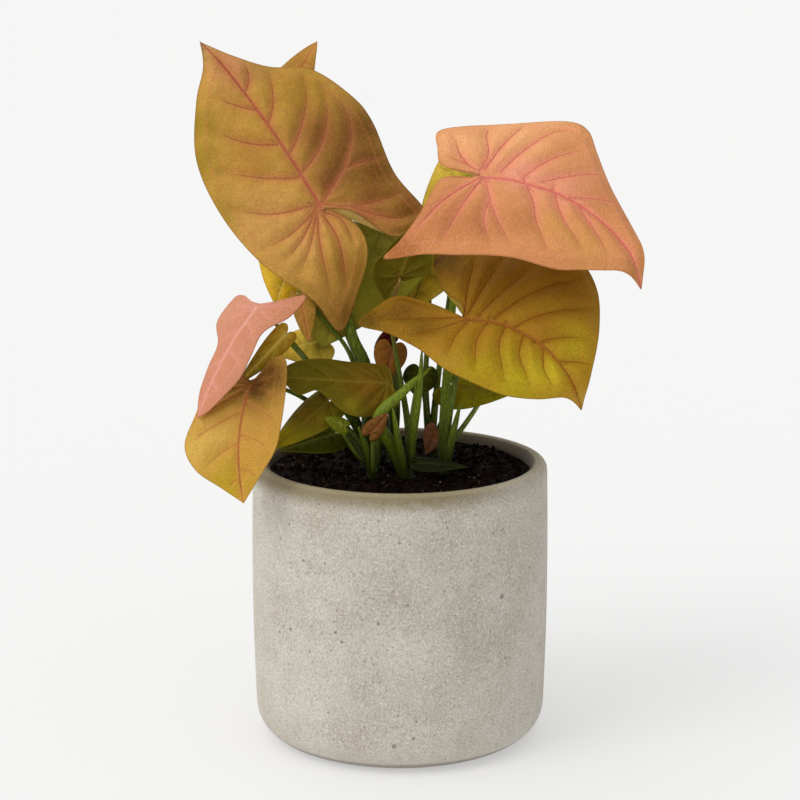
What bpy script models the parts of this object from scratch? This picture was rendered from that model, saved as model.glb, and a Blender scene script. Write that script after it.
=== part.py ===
"""An arrowhead plant in a cast concrete pot: pot, soil, leafy shoots and their leaf blades.

Metres, +Z up, with the origin on the floor under the middle of the pot. The front faces -Y.
Sizes in the tables below are in millimetres.
"""

import math

import bmesh
import bpy
import numpy as np

MM = 0.001
GAP = 0.3

# Pot
POT_HEIGHT = 120.0
POT_TOP_RADIUS = 62.5
POT_FOOT_RADIUS = 61.5
POT_BELLY = 1.1
POT_CORNER = 14.0
POT_MOUTH_RADIUS = 55.3
POT_FLOOR = 11.0
POT_INNER_CORNER = 10.0
POT_DRAFT = 1.5  # how much narrower the inside is at its foot
POT_RIM = (POT_TOP_RADIUS - POT_MOUTH_RADIUS) / 2
TURN_STEPS = 48  # the same for pot and soil, so that their facets line up

# Soil
SOIL_TOP = 115.5
SOIL_MOUND = 2.0

# Shoots
CROWN_RADIUS = 4.8
CROWN_FOOT = 100.0
CROWN_TOP = 119.5
CROWN_SIDES = 12
CROWN_ROUNDING = 3.6
STALK_FOOT_RADIUS = 3.0
STALK_TOP_RADIUS = 1.0
STALK_TAPER = 1.6
STALK_RINGS = 8
STALK_ROOT = 9.0  # how deep in the crown a stalk starts
STALK_NECK = 10.0  # how far it rises before it leans out
NECK_LEAN = 0.06
SEAT_APPROACH = 4.0  # the last stretch, square to the blade
CROWNS = {
    "shoot_left_front": (-11, -20),
    "shoot_left": (-13, -5),
    "shoot_back": (-3, 6),
    "shoot_front": (4, -21),
    "shoot_right": (18, -13),
    "shoot_back_right": (13, 4),
}

# Blades
BLADE_THICKNESS = 0.7
BLADE_COLUMNS = 4
SMALL_BLADE_COLUMNS = 3
LARGE_BLADE_RIBS = 8
FAN_SHARE = 0.5  # share of the margin whose veins leave from the seat itself
VEIN_BOW = 0.10
NOTCH_DEPTH = 2.0
TAIL_START = 0.86  # share of the length where the drip tip starts to curve away
OUTLINE_POINTS = 160
SPLINE_STEPS = 16

# One half of a plain arrowhead blade, from the notch round the lobe to near the tip:
# across in half widths, then along in lobe lengths where negative and blade lengths where positive.
ARROW_HALF = [
    (0.05, -0.16),
    (0.26, -0.80),
    (0.58, -1.00),
    (0.90, -0.50),
    (1.00, 0.12),
    (0.87, 0.38),
    (0.54, 0.68),
    (0.18, 0.91),
]

COLOURS = {
    "concrete": (0.45, 0.42, 0.37),
    "soil": (0.022, 0.016, 0.012),
    "stalk": (0.13, 0.24, 0.05),
    "ochre pink": (0.46, 0.24, 0.10),
    "salmon": (0.62, 0.26, 0.17),
    "bronze lime": (0.36, 0.24, 0.04),
    "pink": (0.62, 0.26, 0.20),
    "tan": (0.52, 0.32, 0.10),
    "gold": (0.48, 0.38, 0.05),
    "lime": (0.30, 0.36, 0.05),
    "green": (0.10, 0.17, 0.04),
    "olive": (0.16, 0.16, 0.03),
    "brown": (0.38, 0.18, 0.08),
    "dark red": (0.12, 0.02, 0.02),
}


def leaf(shoot, seat, tip, face, stalk, colour, **more):
    """A leaf: where its blade joins the stalk, where it points, and which way its upper side faces."""
    shape = {
        "shoot": shoot,
        "seat": seat,
        "tip": tip,
        "face": face,
        "stalk": stalk,
        "colour": colour,
        "left": None,
        "right": None,
        "width": 12,
        "back": 8,
        "arch": 0,
        "sway": 0,
        "lobes": 0,
        "sides": (0, 0),
        "wave": 0,
        "waves": 2,
        "ribs": 5,
        "quilt": 0.5,
        "tail": (0, 0, 0),
        "girth": 0.7,
    }
    shape.update(more)
    return shape


LEAVES = {
    "blade_a": leaf(
        "shoot_left", (-33, 5, 227), (-81, 20, 293), (0.1, -0.95, 0.28),
        [(-14, 0, 157), (-20.5, 0, 175), (-26, 6, 205)],
        "ochre pink",
        left=[(-2, -2), (-8, -15), (-5, -27), (8, -38), (23, -47), (25, -30), (34, -5), (36, 21),
              (31, 46), (17, 66), (6, 76)],
        right=[(2, -2), (10, -9), (19, -28), (36, -28), (35, -5), (40, 18), (39, 32), (31, 51),
               (17, 61), (7, 73)],
        sides=(3, 8), lobes=4, sway=2, wave=1.2, ribs=9, quilt=0.9, tail=(-2.5, -1, 1.5), girth=1.4,
    ),
    "blade_b": leaf(
        "shoot_right", (34, -15, 242), (98, -42, 206), (0.22, -0.65, 0.72),
        [(19, -4, 146), (22, 5, 182), (25, 14, 206), (29, -2, 233)],
        "salmon",
        left=[(-1, -6), (-3.5, -15), (-2, -20), (5, -25), (15, -31), (25, -24), (39, -5), (50, 11),
              (50, 20), (41, 30), (30, 43), (15, 65), (9, 73)],
        right=[(3, -4.5), (8, -11.5), (12, -13.5), (21, -12), (33, -10), (47, -9.5), (55, -10),
               (47, 2), (41, 15), (31, 33), (24, 49), (16, 58), (4, 71)],
        sides=(1, 8), arch=4, sway=-11, wave=1.2, ribs=9, quilt=0.9, tail=(-3, -1, -5), girth=0.9,
    ),
    "blade_c": leaf(
        "shoot_right", (27, -30, 186), (73, -55, 156), (-0.05, -0.70, 0.71),
        [(20, -16, 140), (24, -20, 165)],
        "bronze lime",
        left=[(5, -6), (7, -15), (12, -25), (23, -34), (38, -24), (49, -4), (52, 16), (45, 32),
              (30, 45), (12, 55)],
        right=[(0, -8), (1, -22), (4, -33), (12, -37), (23, -38), (21, -24), (22, -7), (25, 8),
               (24, 21), (20, 35), (12, 46), (3, 54)],
        sides=(4, 6), arch=6, sway=-8, wave=0.8, ribs=9, quilt=0.9, tail=(-1, 0, -2), girth=0.9,
    ),
    "blade_d": leaf(
        "shoot_left", (-59, -20, 189), (-82, -45, 148), (-0.45, -0.45, 0.77),
        [(-20, -10, 140), (-36, -12, 162), (-50, -8, 178)],
        "pink",
        left=[(3, -3), (10, -6), (18, -11), (18, 1), (12, 11), (13, 23), (13, 34), (6, 48)],
        right=[(6, -3), (14, -6), (21, -5), (20, 8), (8, 20), (6, 31), (4, 43)],
        sides=(4, 4), arch=3, ribs=7, quilt=0.6,
    ),
    "blade_d2": leaf(
        "shoot_left", (-47, -14, 177), (-67, -28, 158), (0.5, -0.7, 0.4),
        [(-20, -8, 138), (-36, -8, 160)],
        "lime", width=5, back=3, sides=(1, 1), arch=1,
    ),
    "blade_e": leaf(
        "shoot_left_front", (-61, -37, 160), (-63, -55, 115), (-0.1, -0.9, 0.35),
        [(-22, -13, 134), (-39, -11, 148), (-53, -24, 157)],
        "tan",
        left=[(3, -4), (9, -12), (14, -11), (15, 0), (14, 16), (12, 27), (6, 38)],
        right=[(3, -4), (12, -9), (17, -2), (21, 12), (25, 26), (20, 36), (9, 43)],
        sides=(-1, -1), arch=2, sway=3, ribs=7, quilt=0.6,
    ),
    "blade_f": leaf(
        "shoot_back", (-59, 36, 256), (-35, 30, 294), (-0.5, -0.75, 0.25),
        [(-14, 20, 150), (-38, 33, 210), (-48, 33, 230)],
        "tan", width=15, back=12, sides=(4, 4), ribs=6,
    ),
    "blade_g": leaf(
        "shoot_back_right", (24, 38, 211), (22, 42, 251), (0.1, -0.95, 0.1),
        [(16, 14, 150), (22, 36, 190)],
        "lime", width=15, back=12, sides=(3, 3), ribs=6,
    ),
    "blade_h": leaf(
        "shoot_back", (-43, 26, 213), (-53, 14, 184), (-0.2, -0.85, 0.4),
        [(-12, 14, 145), (-32, 26, 190)],
        "gold", width=18, back=11, sides=(3, 3), ribs=6,
    ),
    "blade_h2": leaf(
        "shoot_left", (-42, 1, 189), (-38, -3, 171), (-0.5, -0.8, 0.2),
        [(-15, 0, 140), (-21, 1, 165), (-33, 1, 181)],
        "tan", width=6, back=4, sides=(2, 2),
    ),
    "blade_i": leaf(
        "shoot_back", (-8, 22, 214), (-33, 2, 168), (0.1, -0.85, 0.45),
        [(-3, 12, 150), (-4, 22, 190)],
        "green",
        left=[(6, -9), (14, -13), (22, -8), (25, 4), (22, 20), (14, 36), (5, 50)],
        right=[(4, -1), (9, 0.5), (16, 2), (23, 8), (26, 18), (24, 30), (19, 41), (12, 50)],
        sides=(3, 3), arch=2, ribs=7, quilt=0.7,
    ),
    "blade_j": leaf(
        "shoot_front", (0, 4, 198), (10, -4, 224), (0.1, 0.8, 0.5),
        [(3, -13, 140), (-2, -5, 168), (-4, 3, 184)],
        "olive",
        left=[(3, -1), (7, 2.5), (11, 5.5), (10, 11), (7, 18), (3, 25)],
        right=[(2, -12), (5.5, -9.5), (10, -5), (12.5, 2), (10.5, 8), (8, 15), (4, 22)],
        sides=(2, 2), ribs=6,
    ),
    "blade_k": leaf(
        "shoot_back_right", (12, 28, 203), (5, 26, 180), (0.0, -0.9, 0.3),
        [(11, 14, 150), (13, 34, 185)],
        "olive", width=15, back=10, sides=(3, 3), ribs=6,
    ),
    "blade_l": leaf(
        "shoot_left", (-34, 6, 170), (-56, -1, 167), (0.2, -0.65, 0.75),
        [(-19, 0, 140), (-27, 6, 158)],
        "tan", width=10, back=5, sides=(3, 3),
    ),
    "blade_m": leaf(
        "shoot_left", (-5, -15, 156), (-50, -30, 162), (0.1, -0.75, 0.65),
        [(-12, -8, 132), (-8, -11, 148)],
        "olive",
        left=[(3, -2), (9, -4), (13, 4), (15, 14), (13, 22), (5, 31), (7, 40)],
        right=[(3, -2), (8, 0), (10, 10), (10, 24), (9, 36), (6, 43)],
        sides=(3, 2), wave=1.0, ribs=7, quilt=0.7,
    ),
    "blade_n": leaf(
        "shoot_left_front", (-30, -20, 149), (-53, -34, 132), (-0.2, -0.7, 0.65),
        [(-18, -21, 134)],
        "bronze lime", width=9, back=6, sides=(2, 2),
    ),
    "blade_o": leaf(
        "shoot_left", (-28, -9, 133), (-50, -26, 130), (0.0, -0.6, 0.8),
        [(-20, -5, 126)],
        "green", width=8, back=5, sides=(2, 2),
    ),
    "blade_p": leaf(
        "shoot_back", (-3.5, 0, 168), (-6, -8, 155), (0.1, -0.9, 0.35),
        [(-1, 4, 140), (-1.5, 3, 160)],
        "brown", width=7, back=3.5, sides=(2, 2),
    ),
    "blade_p2": leaf(
        "shoot_back", (-4, 7, 172), (-11, 5, 167), (0.1, -0.8, 0.55),
        [(-4, 8, 140), (-3, 10, 162)],
        "dark red", width=3.5, back=2.5, sides=(1, 1),
    ),
    "blade_r1": leaf(
        "shoot_back_right", (23, 6, 151), (47, -8, 150), (-0.1, -0.7, 0.7),
        [(18, 6, 136)],
        "olive", width=11, back=8, sides=(2, 2),
    ),
    "blade_r2": leaf(
        "shoot_back_right", (9, 2, 157), (7, -6, 148), (0.0, -0.8, 0.6),
        [(11, 5, 140)],
        "green", width=7.5, back=4, sides=(2, 2),
    ),
    "blade_s": leaf(
        "shoot_left_front", (-23, -29, 141), (-31, -31, 145), (0.0, -0.8, 0.6),
        [(-18, -25, 128)],
        "lime", width=3.5, back=2.5, sides=(1, 1),
    ),
    "blade_t1": leaf(
        "shoot_front", (8, -27, 125), (28, -31, 124), (0.0, -0.6, 0.8),
        [(6, -22, 122)],
        "green", width=3.8, back=3.5, sides=(1, 1),
    ),
    "blade_t2": leaf(
        "shoot_back_right", (15, -3, 133), (11, -8, 124), (0.1, -0.9, 0.4),
        [(14.5, 2, 124)],
        "brown", width=4.5, back=3, sides=(1, 1),
    ),
    "blade_t3": leaf(
        "shoot_left_front", (-12, -33, 139), (-5, -35, 148), (0.2, -0.9, 0.3),
        [(-11, -28, 122)],
        "brown", width=4, back=3, sides=(1, 1),
    ),
    "blade_v1": leaf(
        "shoot_back", (-52, 58, 236), (-76, 86, 220), (-0.35, 0.3, 0.88),
        [(-12, 28, 150), (-38, 48, 204)],
        "lime", width=18, back=11, sides=(5, 5), arch=4, ribs=7, quilt=0.8, girth=0.6,
    ),
    "blade_v2": leaf(
        "shoot_back_right", (50, 32, 184), (74, 62, 152), (0.45, 0.5, 0.74),
        [(22, 3, 127), (37, 6, 149), (46, 22, 170)],
        "green", width=25, back=17, sides=(5, 5), arch=4, ribs=7, quilt=0.8, girth=0.55,
    ),
    "blade_v3": leaf(
        "shoot_back", (-5, 56, 193), (-4, 90, 163), (-0.05, 0.62, 0.78),
        [(-3, 24, 150), (-4, 44, 177)],
        "bronze lime", width=22, back=15, sides=(5, 5), arch=4, ribs=7, quilt=0.8,
    ),
}

SPEAR_TIP_RADIUS = 0.3
# Leaves still rolled up, as tapering spears: shoot, route of the middle, largest radius.
SPEARS = {
    "rolled leaf": ("shoot_front", [(-3, -23, 130), (-9, -29, 144), (1, -28, 155), (13, -24, 165)], 2.4),
    "front sheath": ("shoot_front", [(5, -19, 135), (7, -16, 157)], 1.7),
    "right sheath": ("shoot_back_right", [(14, 3, 130), (15, 1, 143)], 1.5),
    "left sheath": ("shoot_left_front", [(-9, -19, 132), (-5, -17, 150)], 1.6),
    "low left sheath": ("shoot_left_front", [(-13, -26, 128), (-17, -31, 141)], 1.5),
    "low front sheath": ("shoot_front", [(0, -26, 130), (-3, -31, 149)], 1.5),
    "tall sheath": ("shoot_front", [(5, -21.5, 132), (8, -26, 156), (9, -25, 172)], 1.5),
    "far right sheath": ("shoot_right", [(21, -17, 130), (25, -19, 148)], 1.5),
    "inner sheath": ("shoot_left", [(-14, -9, 132), (-13, -13, 146)], 1.4),
    "back sheath": ("shoot_back", [(-3, 2, 136), (-6, -1, 150)], 1.5),
}


def clear_scene():
    for obj in list(bpy.data.objects):
        bpy.data.objects.remove(obj, do_unlink=True)


def new_collection(name):
    collection = bpy.data.collections.new(name)
    bpy.context.scene.collection.children.link(collection)
    return collection


def move_to(obj, collection):
    for owner in list(obj.users_collection):
        owner.objects.unlink(obj)
    collection.objects.link(obj)


def material(name, roughness=0.6):
    made = bpy.data.materials.get(name)
    if made:
        return made
    made = bpy.data.materials.new(name)
    made.use_nodes = True
    shader = made.node_tree.nodes["Principled BSDF"]
    shader.inputs["Base Color"].default_value = (*COLOURS[name], 1)
    shader.inputs["Roughness"].default_value = roughness
    shader.inputs["Metallic"].default_value = 0
    return made


def shade_smooth(mesh, sharp_degrees=45):
    mesh.shade_smooth()
    mesh.set_sharp_from_angle(angle=math.radians(sharp_degrees))


def apply_modifiers(obj):
    """Bakes the modifiers into the object's own mesh."""
    graph = bpy.context.evaluated_depsgraph_get()
    baked = bpy.data.meshes.new_from_object(obj.evaluated_get(graph))
    obj.modifiers.clear()
    obj.data = baked


def arc(centre, radii, start_degrees, end_degrees, steps):
    """Points along part of an ellipse in the profile plane."""
    angles = np.radians(np.linspace(start_degrees, end_degrees, steps + 1))
    return [(centre[0] + radii[0] * math.cos(a), centre[1] + radii[1] * math.sin(a)) for a in angles]


def turned(name, profile, collection):
    """A profile of (radius, height) in mm, turned about Z."""
    mesh = bpy.data.meshes.new(name)
    points = [(r * MM, 0, z * MM) for r, z in profile]
    mesh.from_pydata(points, [(i, i + 1) for i in range(len(points) - 1)], [])
    obj = bpy.data.objects.new(name, mesh)
    collection.objects.link(obj)
    screw = obj.modifiers.new("Turn", "SCREW")
    screw.axis = "Z"
    screw.steps = TURN_STEPS
    screw.render_steps = TURN_STEPS
    screw.use_merge_vertices = True
    screw.merge_threshold = 0.00001
    apply_modifiers(obj)
    return obj


def wall_radius(z):
    """The pot's outer radius: it widens a little upwards, with a slight belly."""
    share = z / POT_HEIGHT
    straight = POT_FOOT_RADIUS + (POT_TOP_RADIUS - POT_FOOT_RADIUS) * share
    return straight + POT_BELLY * math.sin(math.pi * share)


def build_pot(collection):
    rim_middle = POT_MOUTH_RADIUS + POT_RIM
    inner_foot = POT_MOUTH_RADIUS - POT_DRAFT
    profile = [(0, POT_FLOOR)]
    profile += arc((inner_foot - POT_INNER_CORNER, POT_FLOOR + POT_INNER_CORNER),
                   (POT_INNER_CORNER, POT_INNER_CORNER), -90, 0, 3)
    profile += arc((rim_middle, POT_HEIGHT - POT_RIM), (POT_RIM, POT_RIM), 180, 0, 6)
    heights = np.linspace(POT_HEIGHT - 3 * POT_RIM, POT_CORNER, 5)
    profile += [(wall_radius(z), z) for z in heights]
    profile += arc((wall_radius(POT_CORNER) - POT_CORNER, POT_CORNER),
                   (POT_CORNER, POT_CORNER), 0, -90, 5)[1:]
    profile.append((0, 0))
    pot = turned("pot", profile, collection)
    pot.data.materials.append(material("concrete", 0.85))
    shade_smooth(pot.data)
    return pot


def inner_radius(z):
    """The pot's inner radius above its rounded inner corner."""
    foot = POT_FLOOR + POT_INNER_CORNER
    share = (z - foot) / (POT_HEIGHT - POT_RIM - foot)
    return POT_MOUTH_RADIUS - POT_DRAFT * (1 - share)


def upright_rod(name, place, radius, bottom, top):
    """A cylinder standing at the place, from bottom to top."""
    bpy.ops.mesh.primitive_cylinder_add(
        vertices=CROWN_SIDES,
        radius=radius * MM,
        depth=(top - bottom) * MM,
        location=(place[0] * MM, place[1] * MM, (bottom + top) / 2 * MM),
    )
    rod = bpy.context.object
    rod.name = name
    rod.data.name = name
    return rod


def build_soil(collection, cutters):
    """The soil fills the pot, mounds a little round the stems and takes each crown in a plain hole."""
    edge = inner_radius(SOIL_TOP) - GAP
    foot = POT_FLOOR + POT_INNER_CORNER
    profile = [(edge * s, SOIL_TOP + SOIL_MOUND * (1 - s * s)) for s in (0, 0.35, 0.7, 1)]
    profile += arc((inner_radius(foot) - POT_INNER_CORNER, foot),
                   (POT_INNER_CORNER - GAP, POT_INNER_CORNER - GAP), 0, -90, 3)
    profile.append((0, POT_FLOOR + GAP))
    soil = turned("soil", profile, collection)
    for name, crown in CROWNS.items():
        cutter = upright_rod(name + "_hole", crown, CROWN_RADIUS + GAP, CROWN_FOOT - GAP, POT_HEIGHT)
        cutter.hide_render = True
        cutter.display_type = "WIRE"
        move_to(cutter, cutters)
    cut = soil.modifiers.new("Holes", "BOOLEAN")
    cut.operation = "DIFFERENCE"
    cut.operand_type = "COLLECTION"
    cut.collection = cutters
    cut.solver = "EXACT"
    soil.data.materials.append(material("soil", 0.95))
    return soil


def spline_points(points, count):
    """Count points evenly spaced along a smooth curve through the given ones."""
    knots = np.array(points, float)
    padded = np.vstack([2 * knots[0] - knots[1], knots, 2 * knots[-1] - knots[-2]])
    t = np.linspace(0, 1, SPLINE_STEPS, endpoint=False)[:, None]
    pieces = []
    for a, b, c, d in zip(padded, padded[1:], padded[2:], padded[3:]):
        cubic = 3 * b - a - 3 * c + d
        square = 2 * a - 5 * b + 4 * c - d
        pieces.append(0.5 * (2 * b + (c - a) * t + square * t**2 + cubic * t**3))
    dense = np.vstack([*pieces, knots[-1:]])
    return resampled(dense, np.linspace(0, 1, count))


def resampled(dense, shares):
    """Points at the given shares of a polyline's length."""
    run = np.concatenate([[0], np.cumsum(np.linalg.norm(np.diff(dense, axis=0), axis=1))])
    wanted = np.asarray(shares) * run[-1]
    return np.stack([np.interp(wanted, run, dense[:, i]) for i in range(dense.shape[1])], axis=-1)


def half_outline(shape, side):
    """The margin of one half of the blade, from the notch round the lobe to the tip."""
    length = math.dist(shape["seat"], shape["tip"])
    notch = (0, -0.14 * shape["back"])
    points = shape["left" if side < 0 else "right"]
    if points is None:
        points = [
            (across * shape["width"], along * (shape["back"] if along < 0 else length))
            for across, along in ARROW_HALF
        ]
    else:
        notch = (0, -NOTCH_DEPTH)
    return spline_points([notch, *points, (0, length)], OUTLINE_POINTS)


def blade_frame(shape):
    """Seat, and unit vectors across, along and out of the upper side, with the length."""
    seat, tip, face = (np.array(shape[key], float) for key in ("seat", "tip", "face"))
    length = np.linalg.norm(tip - seat)
    along = (tip - seat) / length
    out = face - along * (face @ along)
    out /= np.linalg.norm(out)
    return seat, np.cross(along, out), along, out, length


def blade_points(shape, x, y):
    """Places points of a blade: x is -1 to 1 across, from margin to margin, and y 0 to 1 is which
    vein they lie on, from the notch to the tip."""
    seat, across_axis, along_axis, out_axis, length = blade_frame(shape)
    reach = np.abs(x)
    start = length * np.clip((y - FAN_SHARE) / (1 - FAN_SHARE), 0, 1)
    margin = np.where(
        (x < 0)[:, None],
        resampled(half_outline(shape, -1), y) * (-1, 1),
        resampled(half_outline(shape, 1), y),
    )
    run = np.hypot(margin[:, 0], margin[:, 1] - start)
    bow = VEIN_BOW * run * np.clip((y - FAN_SHARE) / 0.2, 0, 1) * 4 * reach * (1 - reach)
    sway = 4 * shape["sway"] * start / length * (1 - start / length)
    across = margin[:, 0] * reach + sway * (1 - reach)
    along = start + (margin[:, 1] - start) * reach - bow
    drip = np.clip((along / length - TAIL_START) / (1 - TAIL_START), 0, None) ** 2
    return (
        seat
        + across[:, None] * across_axis
        + along[:, None] * along_axis
        + blade_height(shape, x, y, across, along, length)[:, None] * out_axis
        + drip[:, None] * shape["tail"]
    )


def blade_height(shape, x, y, across, along, length):
    """How far the blade stands out of its flat plane: its bends, its waved edge and its ribs."""
    share = along / length
    bend = 4 * shape["arch"] * share * (1 - np.clip(share, 0, None))
    outline = np.vstack([half_outline(shape, 1), half_outline(shape, -1)])
    half_width, back = outline[:, 0].max(), -outline[:, 1].min()
    bend -= shape["lobes"] * np.clip(-along / back, 0, None) ** 2
    fall = np.where(x < 0, shape["sides"][0], shape["sides"][1])
    bend -= fall * (across / half_width) ** 2
    bend += shape["wave"] * np.sin(2 * math.pi * shape["waves"] * y + (x < 0)) * x**4
    reach = np.abs(x)
    pillow = np.abs(np.sin(math.pi * shape["ribs"] * y)) * np.clip(4 * reach, 0, 1) * (1 - reach**3)
    return bend + shape["quilt"] * pillow * np.clip(8 * (1 - y), 0, 1)


def build_blade(name, shape, collection):
    """A grid whose rows are the veins, bent to the leaf and thickened."""
    columns = BLADE_COLUMNS if shape["ribs"] >= LARGE_BLADE_RIBS else SMALL_BLADE_COLUMNS
    bpy.ops.mesh.primitive_grid_add(
        x_subdivisions=2 * columns, y_subdivisions=2 * shape["ribs"], size=2
    )
    obj = bpy.context.object
    obj.name = name
    obj.data.name = name
    move_to(obj, collection)
    mesh = bmesh.new()
    mesh.from_mesh(obj.data)
    grid = np.array([v.co for v in mesh.verts])
    places = blade_points(shape, grid[:, 0], (grid[:, 1] + 1) / 2) * MM
    for vertex, place in zip(mesh.verts, places):
        vertex.co = place
    bmesh.ops.remove_doubles(mesh, verts=mesh.verts, dist=0.02 * MM)
    bmesh.ops.triangulate(mesh, faces=mesh.faces, quad_method="SHORT_EDGE")
    mesh.to_mesh(obj.data)
    mesh.free()
    thicken = obj.modifiers.new("Thickness", "SOLIDIFY")
    thicken.thickness = BLADE_THICKNESS * MM
    thicken.offset = 0
    obj.data.materials.append(material(shape["colour"], 0.5))
    shade_smooth(obj.data, 60)
    return obj


def tube(name, route, radii, collection):
    """A tapering closed tube along the route, as a mesh."""
    curve = bpy.data.curves.new(name, "CURVE")
    curve.dimensions = "3D"
    curve.bevel_depth = MM
    curve.bevel_resolution = 1
    curve.use_fill_caps = True
    line = curve.splines.new("POLY")
    line.points.add(len(route) - 1)
    for point, place, radius in zip(line.points, route, radii):
        point.co = (*(place * MM), 1)
        point.radius = radius
    guide = bpy.data.objects.new(name, curve)
    collection.objects.link(guide)
    graph = bpy.context.evaluated_depsgraph_get()
    mesh = bpy.data.meshes.new_from_object(guide.evaluated_get(graph))
    welded = bmesh.new()
    welded.from_mesh(mesh)
    bmesh.ops.remove_doubles(welded, verts=welded.verts, dist=0.00001)
    welded.to_mesh(mesh)
    welded.free()
    made = bpy.data.objects.new(name, mesh)
    made.matrix_world = guide.matrix_world
    bpy.data.objects.remove(guide, do_unlink=True)
    collection.objects.link(made)
    return made


def stalk_route(shape, crown):
    """From inside the crown, through the given points, to just under the blade's seat."""
    seat, _, along, out, length = blade_frame(shape)
    out = out - along * 4 * shape["arch"] / length
    out /= np.linalg.norm(out)
    foot = np.array((*crown, CROWN_TOP - STALK_ROOT))
    lean = np.array(shape["stalk"][0], float) - foot
    neck = foot + lean * (NECK_LEAN, NECK_LEAN, 0) + (0, 0, STALK_NECK)
    approach = seat - out * SEAT_APPROACH
    under = seat - out * (BLADE_THICKNESS / 2 + GAP)
    route = spline_points([foot, neck, *shape["stalk"], approach], STALK_RINGS)
    return np.vstack([route, under])


def stalk_radii(shape, count):
    swell = (1 - np.linspace(0, 1, count)) ** STALK_TAPER
    return shape["girth"] * (STALK_TOP_RADIUS + (STALK_FOOT_RADIUS - STALK_TOP_RADIUS) * swell)


def build_shoot(name, crown, collection):
    """A short stem with the stalks that grow from it, joined as they grew."""
    pieces = new_collection(name + " pieces")
    stem = upright_rod(name, crown, CROWN_RADIUS, CROWN_FOOT, CROWN_TOP)
    move_to(stem, collection)
    ends = stem.modifiers.new("Rounded ends", "BEVEL")
    ends.width = CROWN_ROUNDING * MM
    ends.segments = 3
    ends.limit_method = "ANGLE"
    ends.angle_limit = math.radians(60)
    for leaf_name, shape in LEAVES.items():
        if shape["shoot"] == name:
            route = stalk_route(shape, crown)
            tube(leaf_name + " stalk", route, stalk_radii(shape, len(route)), pieces)
    for spear_name, (owner, points, radius) in SPEARS.items():
        if owner == name:
            route = spline_points([(*crown, CROWN_TOP - STALK_ROOT), *points], STALK_RINGS)
            swell = np.sin(math.pi * np.linspace(0, 1, len(route)) ** 0.8) ** 0.7
            tube(spear_name, route, SPEAR_TIP_RADIUS + radius * swell, pieces)
    join = stem.modifiers.new("Grown together", "BOOLEAN")
    join.operation = "UNION"
    join.operand_type = "COLLECTION"
    join.collection = pieces
    join.solver = "EXACT"
    apply_modifiers(stem)
    for piece in list(pieces.objects):
        bpy.data.objects.remove(piece, do_unlink=True)
    bpy.data.collections.remove(pieces)
    stem.data.materials.clear()
    stem.data.materials.append(material("stalk", 0.45))
    shade_smooth(stem.data, 50)
    return stem


def main():
    clear_scene()
    parts = new_collection("arrowhead plant in pot")
    cutters = new_collection("holes in the soil")
    build_pot(parts)
    build_soil(parts, cutters)
    for name, crown in CROWNS.items():
        build_shoot(name, crown, parts)
    for name, shape in LEAVES.items():
        build_blade(name, shape, parts)


main()
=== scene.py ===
"""An arrowhead plant in its concrete pot: the finish of the pot, the soil, the stalks and every leaf.

Metres, +Z up, the front towards -Y. Sizes named in the sections are in millimetres.
"""

import math

import bmesh
import bpy
import numpy as np
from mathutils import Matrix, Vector, noise


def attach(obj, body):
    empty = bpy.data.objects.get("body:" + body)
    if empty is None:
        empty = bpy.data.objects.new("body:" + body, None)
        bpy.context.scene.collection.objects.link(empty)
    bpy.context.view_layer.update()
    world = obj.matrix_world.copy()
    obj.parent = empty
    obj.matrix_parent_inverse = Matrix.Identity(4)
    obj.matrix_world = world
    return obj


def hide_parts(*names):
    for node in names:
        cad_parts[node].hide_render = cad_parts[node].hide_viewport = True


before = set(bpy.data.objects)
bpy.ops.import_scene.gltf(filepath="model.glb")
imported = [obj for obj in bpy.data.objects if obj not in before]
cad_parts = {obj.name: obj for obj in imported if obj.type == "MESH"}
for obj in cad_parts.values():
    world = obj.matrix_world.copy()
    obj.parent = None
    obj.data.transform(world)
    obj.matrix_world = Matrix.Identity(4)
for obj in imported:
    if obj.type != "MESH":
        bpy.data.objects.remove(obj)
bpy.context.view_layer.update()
bpy.ops.object.select_all(action="DESELECT")


# The pot is one piece of fine concrete, cast upside down over a core. Its wall is nearly straight with a
# slight belly, the foot and the mouth are well rounded, and small air bubbles left pits in the face.

MM = 0.001
POT_HEIGHT = 120.0
POT_TOP_RADIUS = 62.5
POT_FOOT_RADIUS = 61.5
POT_BELLY = 1.1
POT_CORNER = 14.0
POT_RIM = 3.6
POT_WALL = 2 * POT_RIM
POT_MOUTH_RADIUS = POT_TOP_RADIUS - POT_WALL
POT_FLOOR = 11.0
POT_FLOOR_CORNER = 8.0
POT_BELTS = np.linspace(POT_CORNER + 4, POT_HEIGHT - 3 * POT_RIM, 9)


def srgb(red, green, blue):
    """A colour as the eye reads it, 0 to 255, in the linear form that shaders take."""
    parts = [c / 255 for c in (red, green, blue)]
    return tuple(c / 12.92 if c < 0.04 else ((c + 0.055) / 1.055) ** 2.4 for c in parts)


def edit(obj):
    """Opens a piece for editing with all of it selected."""
    bpy.ops.object.select_all(action="DESELECT")
    bpy.context.view_layer.objects.active = obj
    obj.select_set(True)
    bpy.ops.object.mode_set(mode="EDIT")
    bpy.ops.mesh.select_mode(type="VERT")
    bpy.ops.mesh.select_all(action="SELECT")
    return bmesh.from_edit_mesh(obj.data)


def cut_across(heights):
    """Cuts the open piece level at each height, in its own units."""
    for height in heights:
        bpy.ops.mesh.select_all(action="SELECT")
        bpy.ops.mesh.bisect(plane_co=(0, 0, height), plane_no=(0, 0, 1))


def select_between(mesh, low, high, inner=0.0, outer=1000.0):
    """Selects what lies between two heights and two distances from the middle."""
    for vert in mesh.verts:
        radius = math.hypot(vert.co.x, vert.co.y) / MM
        vert.select = low <= vert.co.z / MM <= high and inner <= radius <= outer
    mesh.select_flush_mode()


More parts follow.
